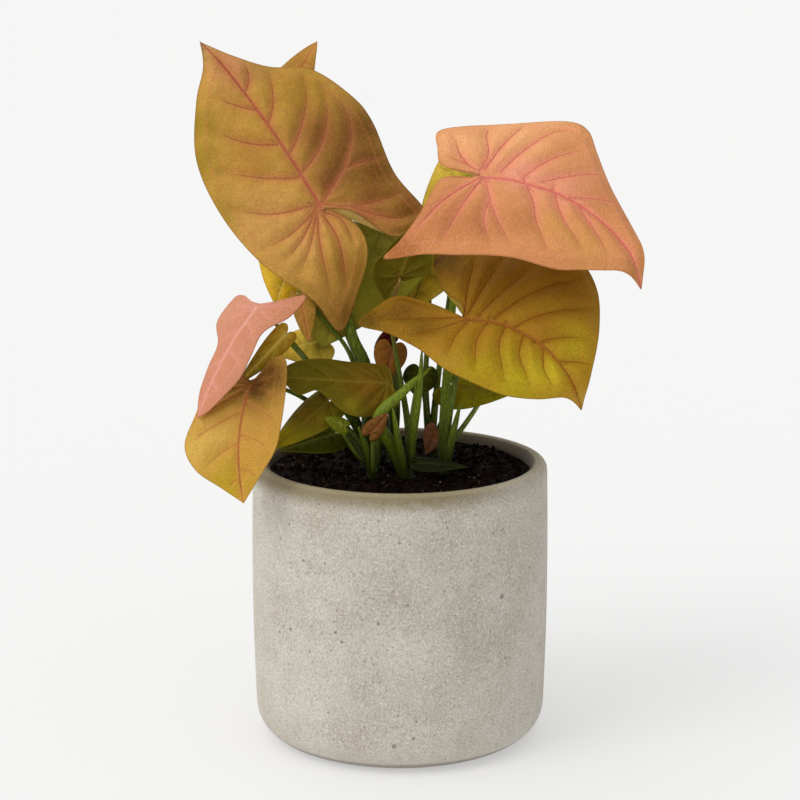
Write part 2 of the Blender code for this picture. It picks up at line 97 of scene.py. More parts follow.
def widen(share):
    """Scales what is selected sideways, about the middle."""
    bpy.ops.transform.resize(value=(share, share, 1), center_override=(0, 0, 0))


def done(obj):
    """Leaves edit mode and puts the piece's place into its mesh."""
    bpy.ops.object.mode_set(mode="OBJECT")
    bpy.ops.object.transform_apply(location=True, rotation=True, scale=True)
    return obj


bpy.ops.mesh.primitive_cylinder_add(
    vertices=160, radius=POT_TOP_RADIUS * MM, depth=POT_HEIGHT * MM, location=(0, 0, POT_HEIGHT / 2 * MM)
)
pot = bpy.context.object
pot.name = "concrete_pot"
bpy.ops.object.transform_apply(location=True)
shape = edit(pot)
select_between(shape, POT_HEIGHT - 1, POT_HEIGHT + 1)
bpy.ops.mesh.inset(thickness=POT_WALL * MM)
bpy.ops.mesh.extrude_region_move(TRANSFORM_OT_translate={"value": (0, 0, (POT_FLOOR - POT_HEIGHT) * MM)})
cut_across(POT_BELTS * MM)
for height in POT_BELTS:
    share = height / POT_HEIGHT
    radius = POT_FOOT_RADIUS + (POT_TOP_RADIUS - POT_FOOT_RADIUS) * share
    radius += POT_BELLY * math.sin(math.pi * share)
    select_between(shape, height - 0.5, height + 0.5, inner=POT_TOP_RADIUS - 2)
    widen(radius / POT_TOP_RADIUS)
select_between(shape, -1, 1)
widen(POT_FOOT_RADIUS / POT_TOP_RADIUS)
bpy.ops.mesh.bevel(offset=POT_CORNER * MM, segments=12, profile=0.5)
select_between(shape, POT_HEIGHT - 1, POT_HEIGHT + 1)
bpy.ops.mesh.bevel(offset=POT_RIM * 0.98 * MM, segments=6, profile=0.5)
select_between(shape, POT_FLOOR - 1, POT_FLOOR + 1, outer=POT_MOUTH_RADIUS + 1)
bpy.ops.mesh.bevel(offset=POT_FLOOR_CORNER * MM, segments=4, profile=0.5)
done(pot)
bpy.ops.object.shade_smooth_by_angle(angle=math.radians(50))


class Finish:
    """A material's node tree, with the few steps that every finish here is made of."""

    def __init__(self, name):
        self.material = bpy.data.materials.new(name)
        self.material.use_nodes = True
        self.tree = self.material.node_tree
        self.shader = self.tree.nodes["Principled BSDF"]

    def node(self, kind, **inputs):
        """A new node, with its inputs set or linked by name."""
        made = self.tree.nodes.new("ShaderNode" + kind)
        for name, value in inputs.items():
            self.feed(made, name.replace("_", " "), value)
        return made

    def feed(self, node, name, value):
        """Links or sets one input of a node."""
        socket = node.inputs[name]
        if isinstance(value, bpy.types.NodeSocket):
            self.tree.links.new(value, socket)
        elif isinstance(value, tuple) and len(value) == 3 and socket.type == "RGBA":
            socket.default_value = (*value, 1)
        else:
            socket.default_value = value

    def math(self, kind, first, second=0.0, clamp=False):
        made = self.tree.nodes.new("ShaderNodeMath")
        made.operation = kind
        made.use_clamp = clamp
        self.feed(made, 0, first)
        self.feed(made, 1, second)
        return made.outputs[0]

    def times(self, first, second):
        return self.math("MULTIPLY", first, second)

    def noise(self, place, scale, detail=3.0, roughness=0.5, distortion=0.0):
        made = self.node("TexNoise", Vector=place, Scale=scale, Detail=detail, Roughness=roughness,
                         Distortion=distortion)
        return made.outputs["Fac"]

    def cells(self, place, scale, feature="F1"):
        made = self.node("TexVoronoi", Vector=place, Scale=scale)
        made.feature = feature
        return made.outputs["Distance"]

    def ramp(self, value, low, high, bottom=0.0, top=1.0):
        """Bottom below low, top above high, with a soft step between."""
        made = self.node("MapRange", Value=value, From_Min=low, From_Max=high, To_Min=bottom, To_Max=top)
        made.interpolation_type = "SMOOTHSTEP"
        return made.outputs["Result"]

    def mix(self, share, first, second, kind="MIX"):
        made = self.tree.nodes.new("ShaderNodeMix")
        made.data_type = "RGBA"
        made.blend_type = kind
        for name, value in ((0, share), (6, first), (7, second)):
            self.feed(made, name, value)
        return made.outputs[2]

    def layered(self, colour, layers):
        """A colour with other colours laid over it in turn, each by its share."""
        for share, tint in layers:
            colour = self.mix(share, colour, srgb(*tint))
        return colour

    def own_place(self):
        return self.node("TexCoord").outputs["Object"]

    def own_value(self, name, output="Fac"):
        made = self.node("Attribute")
        made.attribute_name = name
        return made.outputs[output]

    def surface(self, colour, roughness, relief, depth):
        """The material with its colour, its roughness and its relief, which is depth millimetres deep."""
        bump = self.node("Bump", Height=relief, Strength=1.0, Distance=depth * MM)
        self.feed(self.shader, "Base Color", colour)
        self.feed(self.shader, "Roughness", roughness)
        self.feed(self.shader, "Normal", bump.outputs["Normal"])
        return self.material


def concrete():
    finish = Finish("fine_concrete")
    place = finish.own_place()
    height = finish.node("SeparateXYZ", Vector=place).outputs["Z"]
    aside = finish.node("SeparateXYZ", Vector=place).outputs["X"]
    distance = finish.node("VectorMath", Vector=finish.mix(1.0, place, (1.0, 1.0, 0.0), "MULTIPLY"))
    distance.operation = "LENGTH"
    clouds = finish.ramp(finish.noise(place, 30, 7, 0.72), 0.32, 0.68)
    blotches = finish.ramp(finish.noise(place, 110, 6, 0.75), 0.5, 0.72)
    stains = finish.ramp(finish.noise(place, 62, 4, 0.65, 0.6), 0.58, 0.74)
    grain = finish.noise(place, 1150, 4, 0.8)
    rim = finish.math("ADD", height, finish.times(blotches, 0.002))
    stained_rim = finish.times(finish.ramp(rim, 0.1105, 0.1188, 0.0, 0.8),
                               finish.ramp(aside, 0.015, 0.06, 1.0, 0.2))
    # How far from the middle, roughened by the blotches: it sets the edge of the painted shade inside the
    # mouth.
    mouth = finish.math("ADD", distance.outputs["Value"], finish.times(blotches, 0.0012))
    bubbles = finish.ramp(finish.noise(place, 55, 2), 0.45, 0.75, 0.0, 0.07)
    pits = finish.ramp(finish.math("SUBTRACT", finish.cells(place, 120), bubbles), 0.02, 0.08)
    specks = finish.ramp(finish.cells(place, 300), 0.05, 0.2)
    colour = finish.layered(finish.mix(clouds, srgb(174, 167, 153), srgb(194, 189, 178)), [
        (finish.times(blotches, 0.34), (156, 147, 132)),
        (finish.times(stains, 0.26), (146, 134, 108)),
        (finish.ramp(grain, 0.5, 0.66, 0.0, 0.75), (218, 214, 205)),
        (finish.ramp(grain, 0.34, 0.48, 0.65, 0.0), (134, 126, 112)),
        (finish.ramp(finish.cells(place, 900), 0.0, 0.28, 0.4, 0.0), (98, 90, 78)),
        (stained_rim, (112, 98, 60)),
        # A pale line along the rim's crest: painted highlight where the top of the rim catches the light.
        (finish.times(finish.ramp(height, 0.1186, 0.1197), 0.22), (192, 178, 142)),
        # Dark brown on the inner rounding and the inner wall: painted shade down inside the pot's mouth.
        (finish.ramp(mouth, 0.0566, 0.0588, 0.8, 0.0), (62, 50, 34)),
        # Paler towards the foot: painted light bounced up from the pale floor.
        (finish.ramp(height, 0.0, 0.016, 0.4, 0.0), (216, 210, 198)),
        (finish.math("SUBTRACT", 0.6, finish.times(pits, 0.6)), (104, 94, 78)),
        (finish.math("SUBTRACT", 0.5, finish.times(specks, 0.5)), (122, 111, 93)),
    ])
    relief = finish.math("ADD", finish.times(grain, 0.5), finish.times(pits, 1.2))
    relief = finish.math("ADD", relief, finish.times(specks, 0.4))
    finish.shader.inputs["Specular IOR Level"].default_value = 0.3
    return finish.surface(colour, finish.ramp(grain, 0.3, 0.7, 0.74, 0.9), relief, 0.35)


pot.data.materials.append(concrete())
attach(pot, "root")
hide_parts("pot")


# The soil is dark, moist potting mix: crumbs of peat and bark with root fibres and a few pale grains,
# filled to a little under the rim and mounded round the stems.

SOIL_TOP = 115.5
SOIL_MOUND = 2.0
SOIL_EDGE = 54.8
SOIL_LUMP = 9.0
CRUMBS = 1500
FIBRES = 90
FIBRE_LENGTH = 6.0
PALE_GRAINS = 22
STEM_CLEARANCE = 5.5
CROWNS = {
    "shoot_left_front": (-11, -20),
    "shoot_left": (-13, -5),
    "shoot_back": (-3, 6),
    "shoot_front": (4, -21),
    "shoot_right": (18, -13),
    "shoot_back_right": (13, 4),
}
chance = np.random.default_rng(7)


def soil_height(x, y):
    """Height of the soil's uneven surface, in mm."""
    share = math.hypot(x, y) / SOIL_EDGE
    lumps = noise.fractal(Vector((x / SOIL_LUMP, y / SOIL_LUMP, 0)), 1.0, 2.0, 4)
    return SOIL_TOP + SOIL_MOUND * (1 - share * share) + 0.55 * lumps + 0.35


def strewn(name, pattern, places):
    """Copies of one small piece, turned and scaled at random, at the places, as one mesh."""
    verts = np.array([v.co for v in pattern.data.vertices])
    faces = [tuple(p.vertices) for p in pattern.data.polygons]
    all_verts = []
    all_faces = []
    for place, size in places:
        turn, _ = np.linalg.qr(chance.normal(size=(3, 3)))
        turn[:, 0] *= np.linalg.det(turn)
        squash = size * chance.uniform(0.6, 1.25, 3)
        start = len(all_verts) * len(verts)
        all_verts.append((verts * squash) @ turn.T + np.array(place))
        all_faces += [tuple(i + start for i in face) for face in faces]
    mesh = bpy.data.meshes.new(name)
    mesh.from_pydata([tuple(v * MM) for v in np.vstack(all_verts)], [], all_faces)
    made = bpy.data.objects.new(name, mesh)
    bpy.context.scene.collection.objects.link(made)
    bpy.data.objects.remove(pattern, do_unlink=True)
    return made


def somewhere(reach):
    """A chance place on the soil that isn't inside a stem."""
    while True:
        angle = chance.uniform(0, 2 * math.pi)
        distance = reach * math.sqrt(chance.uniform())
        x, y = distance * math.cos(angle), distance * math.sin(angle)
        if min(math.dist((x, y), crown) for crown in CROWNS.values()) > STEM_CLEARANCE:
            return x, y


bpy.ops.mesh.primitive_grid_add(x_subdivisions=120, y_subdivisions=48, size=2)
soil = bpy.context.object
soil.name = "potting_mix"
for vert in soil.data.vertices:
    angle = math.pi * vert.co.x
    distance = SOIL_EDGE * (vert.co.y + 1) / 2
    x, y = distance * math.cos(angle), distance * math.sin(angle)
    vert.co = (x * MM, y * MM, soil_height(x, y) * MM)
edit(soil)
bpy.ops.mesh.remove_doubles(threshold=0.01 * MM)
bpy.ops.mesh.normals_make_consistent(inside=False)
done(soil)
if soil.data.polygons[0].normal.z < 0:
    soil.data.flip_normals()
bpy.ops.object.shade_smooth()

bpy.ops.mesh.primitive_ico_sphere_add(subdivisions=2, radius=1)
crumb = bpy.context.object
for vert in crumb.data.vertices:
    vert.co *= 1 + 0.55 * noise.noise(vert.co * 1.7)
crumb_places = []
for _ in range(CRUMBS):
    x, y = somewhere(SOIL_EDGE - 1.5)
    size = 0.35 + 1.1 * chance.uniform() ** 3
    crumb_places.append(((x, y, soil_height(x, y) + 0.2 * size), size))
crumbs = strewn("crumbs", crumb, crumb_places)

bpy.ops.mesh.primitive_cylinder_add(vertices=5, radius=0.11, depth=1, end_fill_type="TRIFAN")
straw = bpy.context.object
edit(straw)
cut_across((-0.25, 0.0, 0.25))
done(straw)
for vert in straw.data.vertices:
    vert.co = (vert.co.x + 1.2 * (vert.co.z**2), vert.co.y, vert.co.z * FIBRE_LENGTH)
fibre_places = []
for _ in range(FIBRES):
    x, y = somewhere(SOIL_EDGE - 5)
    fibre_places.append(((x, y, soil_height(x, y) + 0.1), chance.uniform(0.5, 1.1)))
fibres = strewn("root_fibres", straw, fibre_places)

bpy.ops.mesh.primitive_ico_sphere_add(subdivisions=1, radius=1)
grain_places = []
for _ in range(PALE_GRAINS):
    x, y = somewhere(SOIL_EDGE - 2)
    grain_places.append(((x, y, soil_height(x, y) + 0.15), chance.uniform(0.25, 0.6)))
grains = strewn("pale_grains", bpy.context.object, grain_places)


def peat():
    finish = Finish("moist_peat")
    place = finish.own_place()
    lumps = finish.noise(place, 420, 5, 0.65)
    colour = finish.mix(finish.ramp(lumps, 0.35, 0.75), srgb(5, 3, 2), srgb(30, 18, 11))
    tint = finish.ramp(finish.noise(place, 160, 2), 0.55, 0.75, 0.0, 0.4)
    finish.shader.inputs["Specular IOR Level"].default_value = 0.03
    return finish.surface(finish.mix(tint, colour, srgb(50, 27, 15)),
                          finish.ramp(lumps, 0.3, 0.7, 0.8, 0.98), lumps, 0.5)


def dry_bits(name, dark, light):
    finish = Finish(name)
    place = finish.own_place()
    shade = finish.noise(place, 300, 3)
    return finish.surface(finish.mix(finish.ramp(shade, 0.35, 0.65), dark, light),
                          finish.ramp(shade, 0.3, 0.7, 0.6, 0.85), finish.noise(place, 1800, 2), 0.08)


moist_peat = peat()
soil.data.materials.append(moist_peat)
crumbs.data.materials.append(moist_peat)
fibres.data.materials.append(dry_bits("dry_fibre", srgb(44, 30, 20), srgb(100, 72, 48)))
grains.data.materials.append(dry_bits("pale_grain", srgb(74, 56, 40), srgb(126, 102, 78)))
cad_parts["soil"].data.materials.clear()
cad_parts["soil"].data.materials.append(moist_peat)
for piece in (soil, crumbs, fibres, grains):
    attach(piece, "root")


# The leaf blades are thin, soft and quilted between sunken veins, each on its own round stalk. A blade is
# a grid whose rows run along the side veins, drawn to the leaf's margin and bent as the leaf hangs.

SHELL = 0.4
VEIN_BOW = 0.10
FAN_SHARE = 0.5
NOTCH_DEPTH = 2.0
TAIL_START = 0.86
WAVES = 2
MIDRIB_HALF, MIDRIB_TAPER = 0.62, 0.4
VEIN_HALF, VEIN_TAPER = 0.34, 0.16
PILLOW_HEIGHT, PILLOW_REACH = 1.1, 6
SHOULDER_HEIGHT, SHOULDER_REACH = 0.8, 1.6
FURROW_DEPTH = 0.6
PUCKERS = [(10, 0.55), (3.2, 0.16)]
STALK_FOOT_RADIUS = 3.0
STALK_TOP_RADIUS = 1.0
STALK_TAPER = 1.6
STALK_NECK = 10.0
CROWN_TOP = 119.5
STALK_ROOT = CROWN_TOP - 9.0
ARROW_HALF = [(0.05, -0.16), (0.26, -0.80), (0.58, -1.00), (0.90, -0.50), (1.00, 0.12), (0.87, 0.38),
              (0.54, 0.68), (0.18, 0.91)]
stalks = {name: [] for name in CROWNS}


def spline_points(points, count):
    """Count points evenly spaced along a smooth curve through the given ones."""
    knots = np.array(points, float)
    padded = np.vstack([2 * knots[0] - knots[1], knots, 2 * knots[-1] - knots[-2]])
    t = np.linspace(0, 1, 16, endpoint=False)[:, None]
    pieces = []
    for a, b, c, d in zip(padded, padded[1:], padded[2:], padded[3:]):
        cubic = 3 * b - a - 3 * c + d
        square = 2 * a - 5 * b + 4 * c - d
        pieces.append(0.5 * (2 * b + (c - a) * t + square * t**2 + cubic * t**3))
    return resampled(np.vstack([*pieces, knots[-1:]]), np.linspace(0, 1, count))


def resampled(dense, shares):
    """Points at the given shares of a polyline's length."""
    run = np.concatenate([[0], np.cumsum(np.linalg.norm(np.diff(dense, axis=0), axis=1))])
    wanted = np.asarray(shares) * run[-1]
    return np.stack([np.interp(wanted, run, dense[:, i]) for i in range(dense.shape[1])], axis=-1)


def smooth(value, low, high):
    """0 below low and 1 above high, with a soft step between."""
    share = np.clip((value - low) / (high - low), 0, 1)
    return share * share * (3 - 2 * share)


class Leaf:
    """One leaf's measures in millimetres, and where the points of its blade lie."""

    def __init__(self, seat, tip, face, left=None, right=None, width=12, back=8, arch=0, sway=0, lobes=0,
                 sides=(2, 2), wave=0, ribs=5, quilt=0.5, tail=(0, 0, 0)):
        self.seat = np.array(seat, float)
        self.length = math.dist(seat, tip)
        self.along = (np.array(tip, float) - self.seat) / self.length
        out = np.array(face, float)
        out -= self.along * (out @ self.along)
        self.out = out / np.linalg.norm(out)
        self.across = np.cross(self.along, self.out)
        self.width, self.back, self.tail = width, back, tail
        self.arch, self.sway, self.lobes, self.sides = arch, sway, lobes, sides
        self.wave, self.ribs, self.quilt = wave, ribs, quilt
        self.margins = [self.margin(side) for side in (left, right)]

    def margin(self, points):
        """One half's margin, from the notch round the lobe to the tip, as (out from the midrib, along)."""
        notch = (0, -NOTCH_DEPTH)
        if points is None:
            notch = (0, -0.14 * self.back)
            points = [(a * self.width, b * (self.back if b < 0 else self.length)) for a, b in ARROW_HALF]
        return spline_points([notch, *points, (0, self.length)], 160)

    def flat(self, x, y):
        """Places in the blade laid flat: x -1 to 1 is margin to margin, y 0 to 1 is notch to tip."""
        reach = np.abs(x)
        start = self.length * np.clip((y - FAN_SHARE) / (1 - FAN_SHARE), 0, 1)
        left, right = (resampled(margin, y) for margin in self.margins)
        edge = np.where((x < 0)[:, None], left * (-1, 1), right)
        run = np.hypot(edge[:, 0], edge[:, 1] - start)
        bow = VEIN_BOW * run * np.clip((y - FAN_SHARE) / 0.2, 0, 1) * 4 * reach * (1 - reach)
        across = edge[:, 0] * reach + self.bend_of_midrib(start) * (1 - reach)
        return across, start + (edge[:, 1] - start) * reach - bow

    def bend_of_midrib(self, start):
        """How far the midrib strays sideways from the line between seat and tip."""
        return 4 * self.sway * start / self.length * (1 - start / self.length)

    def rise(self, x, y, across, along):
        """How far the bent blade stands out of its flat plane, without the relief of its veins."""
        share = along / self.length
        bend = 4 * self.arch * share * (1 - np.clip(share, 0, None))
        outline = np.vstack(self.margins)
        half_width, back = outline[:, 0].max(), -outline[:, 1].min()
        bend -= self.lobes * np.clip(-along / back, 0, None) ** 2
        bend -= np.where(x < 0, *self.sides) * (across / half_width) ** 2
        return bend + self.wave * np.sin(2 * math.pi * WAVES * y + (x < 0)) * x**4

    def solid(self, across, along, height):
        """Where the points lie on the plant, with the drip tip curved away."""
        drip = np.clip((along / self.length - TAIL_START) / (1 - TAIL_START), 0, None) ** 2
        return (self.seat + across[:, None] * self.across + along[:, None] * self.along
                + height[:, None] * self.out + drip[:, None] * self.tail)

    def midrib(self):
        start = np.linspace(0, self.length, 40)
        return np.stack([self.bend_of_midrib(start), start], axis=-1)

    def side_veins(self):
        """Plain side veins: from the seat out into the lobes, and from the midrib forward."""
        reach = np.linspace(0, 0.92, 14)
        for k in range(1, self.ribs):
            for side in (-1, 1):
                shift = 0.5 / self.ribs * (side > 0)
                yield np.stack(self.flat(side * reach, np.full(14, k / self.ribs + shift * 0.6)), axis=-1)


def distance_to(line, places):
    """Distance from each place to a line of points, how far along the line that is, and on which side."""
    nearest = np.full(len(places), 1e9)
    at = np.zeros(len(places))
    side = np.ones(len(places))
    for i, (a, b) in enumerate(zip(line, line[1:])):
        step = b - a
        away = places - a
        share = np.clip(away @ step / (step @ step), 0, 1)
        gap = np.linalg.norm(away - share[:, None] * step, axis=1)
        closer = gap < nearest
        nearest = np.where(closer, gap, nearest)
        at = np.where(closer, (i + share) / (len(line) - 1), at)
        side = np.where(closer, np.sign(step[0] * away[:, 1] - step[1] * away[:, 0]), side)
    return nearest, at, side


def store(mesh, name, values):
    """Keeps one value for each point, for the finish to read."""
    values = np.asarray(values, np.float32)
    kind = "FLOAT" if values.ndim == 1 else "FLOAT_VECTOR"
    made = mesh.attributes.new(name, kind, "POINT")
    made.data.foreach_set("value" if values.ndim == 1 else "vector", values.ravel())


def blade(name, leaf, finishes, base, grid, paint, veins):
    """Makes a blade with its veins, its relief and its colours."""
    rows, columns = grid
    bpy.ops.object.select_all(action="DESELECT")
    bpy.ops.mesh.primitive_grid_add(x_subdivisions=2 * columns, y_subdivisions=rows, size=2)
    made = bpy.context.object
    made.name = name
    mesh = made.data
    mesh.name = name
    square = np.array([v.co for v in mesh.vertices])
    x, y = square[:, 0], (square[:, 1] + 1) / 2
    y = y - 0.06 * np.sin(2 * math.pi * y)
    across, along = leaf.flat(x, y)
    places = np.stack([across, along], axis=-1)
    edge = np.minimum(distance_to(leaf.margins[0] * (-1, 1), places)[0],
                      distance_to(leaf.margins[1], places)[0])
    rib, rib_at, side = distance_to(leaf.midrib(), places)
    furrow = rib
    line = rib / (MIDRIB_HALF - MIDRIB_TAPER * rib_at)
    size = min(1.0, leaf.length / 50)
    for points in [spline_points(vein, 14) for vein in veins] if veins else leaf.side_veins():
        gap, at, new_side = distance_to(points, places)
        width = (VEIN_HALF - VEIN_TAPER * at) * (0.5 + 0.5 * size)
        side = np.where(gap / width < line, new_side, side)
        line = np.minimum(line, gap / width)
        furrow = np.minimum(furrow, gap + 2.5 * at**3)
    pillow = PILLOW_HEIGHT * smooth(furrow, 0, PILLOW_REACH * size)
    shoulder = SHOULDER_HEIGHT * (1 - np.exp(-furrow / (SHOULDER_REACH * size)))
    relief = leaf.quilt * (pillow + shoulder - FURROW_DEPTH) * smooth(edge, 0, 5 * size)
    for spread, height in PUCKERS:
        lumps = [noise.noise(Vector((a / spread, b / spread, leaf.seat[2]))) for a, b in places]
        relief += size * height * np.array(lumps) * smooth(edge, -2, 6)
    solid = leaf.solid(across, along, leaf.rise(x, y, across, along) + relief)
    mesh.vertices.foreach_set("co", (solid * MM).astype(np.float32).ravel())
    colour = np.tile(np.array(srgb(*base)), (len(places), 1))
    for tint, u, v, spread, strength in paint:
        share = strength * np.exp(-(((across - u) ** 2 + (along - v) ** 2) / spread**2))
        colour += share[:, None] * (np.array(srgb(*tint)) - colour)
    store(mesh, "vein", line * side)
    store(mesh, "rib", rib / (1 - 0.5 * rib_at) + 2 * smooth(rib_at, 0.88, 1))
    store(mesh, "furrow", furrow)
    store(mesh, "edge", edge)
    store(mesh, "paint", colour)
    store(mesh, "flat", np.stack([across, along, np.full(len(x), leaf.seat[2])], axis=-1))
    edit(made)
    bpy.ops.mesh.remove_doubles(threshold=0.02 * MM)
    bpy.ops.object.mode_set(mode="OBJECT")
    for finish in finishes:
        mesh.materials.append(finish)
    bpy.ops.object.shade_smooth()
    thicken = made.modifiers.new("Thickness", "SOLIDIFY")
    thicken.thickness = SHELL * MM
    thicken.offset = 0
    thicken.material_offset = 1
    thicken.material_offset_rim = 0
    bpy.ops.object.modifier_apply(modifier=thicken.name)
    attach(made, "root")
    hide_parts(name)


def stalk(shoot, leaf, points, tone, blush, girth):
    """Notes the stalk that carries a leaf, from its shoot's crown to just under the blade's seat."""
    out = leaf.out - leaf.along * 4 * leaf.arch / leaf.length
    out /= np.linalg.norm(out)
    foot = np.array((*CROWNS[shoot], STALK_ROOT))
    lean = np.array(points[0], float) - foot
    neck = foot + lean * (0.06, 0.06, 0) + (0, 0, STALK_NECK)
    route = spline_points([foot, neck, *points, leaf.seat - out * 4], 40)
    route = np.vstack([route, leaf.seat - out * SHELL / 2])
    swell = (1 - np.linspace(0, 1, len(route))) ** STALK_TAPER
    radii = girth * (STALK_TOP_RADIUS + (STALK_FOOT_RADIUS - STALK_TOP_RADIUS) * swell)
    stalks[shoot].append((route, radii, tone, blush))


def grow(name, shoot, route, leaf, finishes, base, grid, tone=0.3, blush=0.0, girth=0.7, paint=(),
         veins=None):
    """Makes a leaf: its stalk and its blade.

    Grid is the blade's rows and half its columns. Paint is soft patches of colour on the base: (colour,
    across, along, spread, strength). Veins are lines of (across, along), or plain side veins if not given.
    """
    stalk(shoot, leaf, route, tone, blush, girth)
    blade(name, leaf, finishes, base, grid, paint, veins)


def leaf_finish(name, rib, vein, glow, fleck, edge, under, glowing, flecked, drawn):
    """The upper and the lower side of a leaf: the colours of its midrib and side veins, the glow beside
    them, the flecks in its field, the thin line at its edge, and the paler colour of its back."""
    return [leaf_side(name, rib, vein, glow, fleck, edge, None, glowing, flecked, drawn),
            leaf_side(name + "_back", rib, vein, glow, fleck, edge, under, glowing * 0.5, flecked, drawn)]


def leaf_side(name, rib, vein, glow, fleck, edge, under, glowing, flecked, drawn):
    finish = Finish(name)
    flat = finish.own_value("flat", "Vector")
    from_vein = finish.math("ABSOLUTE", finish.own_value("vein"))
    furrow = finish.own_value("furrow")
    rim = finish.own_value("edge")
    colour = finish.own_value("paint", "Color")
    wander = finish.node("TexNoise", Vector=flat, Scale=0.5, Detail=2.0).outputs["Color"]
    bent = finish.node("VectorMath")
    bent.operation = "MULTIPLY_ADD"
    for place, value in enumerate((wander, (1.6, 1.6, 0), flat)):
        finish.feed(bent, place, value)
    bent = bent.outputs[0]
    large_net = finish.ramp(finish.cells(bent, 0.36, "DISTANCE_TO_EDGE"), 0.0, 0.14, 1.0, 0.0)
    fine_net = finish.ramp(finish.cells(bent, 1.1, "DISTANCE_TO_EDGE"), 0.0, 0.2, 1.0, 0.0)
    grain = finish.noise(flat, 1.9, 4, 0.75)
    clouds = finish.noise(flat, 0.16, 3, 0.6)
    # Depth is the paint's lightness: the flecks, the glows and the midrib fade where the paint is dark, from
    # the leaf's own colour or from painted shade.
    depth = finish.ramp(finish.node("RGBToBW", Color=colour).outputs[0], 0.0, 0.14, 0.2, 1.0)
    if under:
        colour = finish.mix(0.5, colour, srgb(*under))
    flecks = finish.times(finish.ramp(grain, 0.44, 0.62), finish.ramp(clouds, 0.36, 0.62))
    halo = finish.math("ADD", finish.ramp(furrow, 0.2, 3.6, glowing, 0.0),
                       finish.ramp(furrow, 0.2, 1.6, glowing, 0.0), clamp=True)
    collector = finish.math("ABSOLUTE", finish.math("SUBTRACT", rim, 4.8))
    colour = finish.layered(colour, [
        (finish.times(flecks, finish.times(depth, flecked)), fleck),
        (finish.times(halo, depth), glow),
        (finish.times(finish.ramp(collector, 0.1, 0.9, 0.2, 0.0), depth), glow),
        (finish.times(large_net, finish.times(depth, 0.17)), glow),
    ])
    darker = finish.mix(1.0, colour, (0.62, 0.58, 0.5), "MULTIPLY")
    colour = finish.mix(finish.times(fine_net, 0.34), colour, darker)
    tone = finish.ramp(grain, 0.25, 0.75, 0.94, 1.42)
    toned = finish.node("CombineColor", Red=tone, Green=tone, Blue=tone).outputs[0]
    colour = finish.mix(1.0, colour, toned, "MULTIPLY")
    line = finish.times(finish.ramp(from_vein, 0.4, 1.5, drawn, 0.0), finish.ramp(furrow, 1.3, 2.4, 1.0, 0.0))
    colour = finish.layered(colour, [
        (line, vein),
        (finish.times(finish.ramp(finish.own_value("rib"), 0.25, 1.1, 0.75, 0.0), depth), rib),
        (finish.ramp(rim, 0.12, 0.6, 0.35, 0.0), edge),
    ])
    height = finish.times(line, 1.6 if under else -1.2)
    height = finish.math("SUBTRACT", height, finish.times(large_net, 0.35))
    height = finish.math("SUBTRACT", height, finish.times(fine_net, 0.12))
    height = finish.math("ADD", height, finish.times(grain, 0.2))
    finish.shader.inputs["Specular IOR Level"].default_value = 0.07
    through = finish.node("BsdfTranslucent", Color=colour)
    blend = finish.node("MixShader", Fac=0.2)
    finish.feed(blend, 1, finish.shader.outputs[0])
    finish.feed(blend, 2, through.outputs[0])
    finish.feed(finish.tree.nodes["Material Output"], "Surface", blend.outputs[0])
    return finish.surface(colour, finish.ramp(grain, 0.3, 0.7, 0.44, 0.6), height, 0.3)
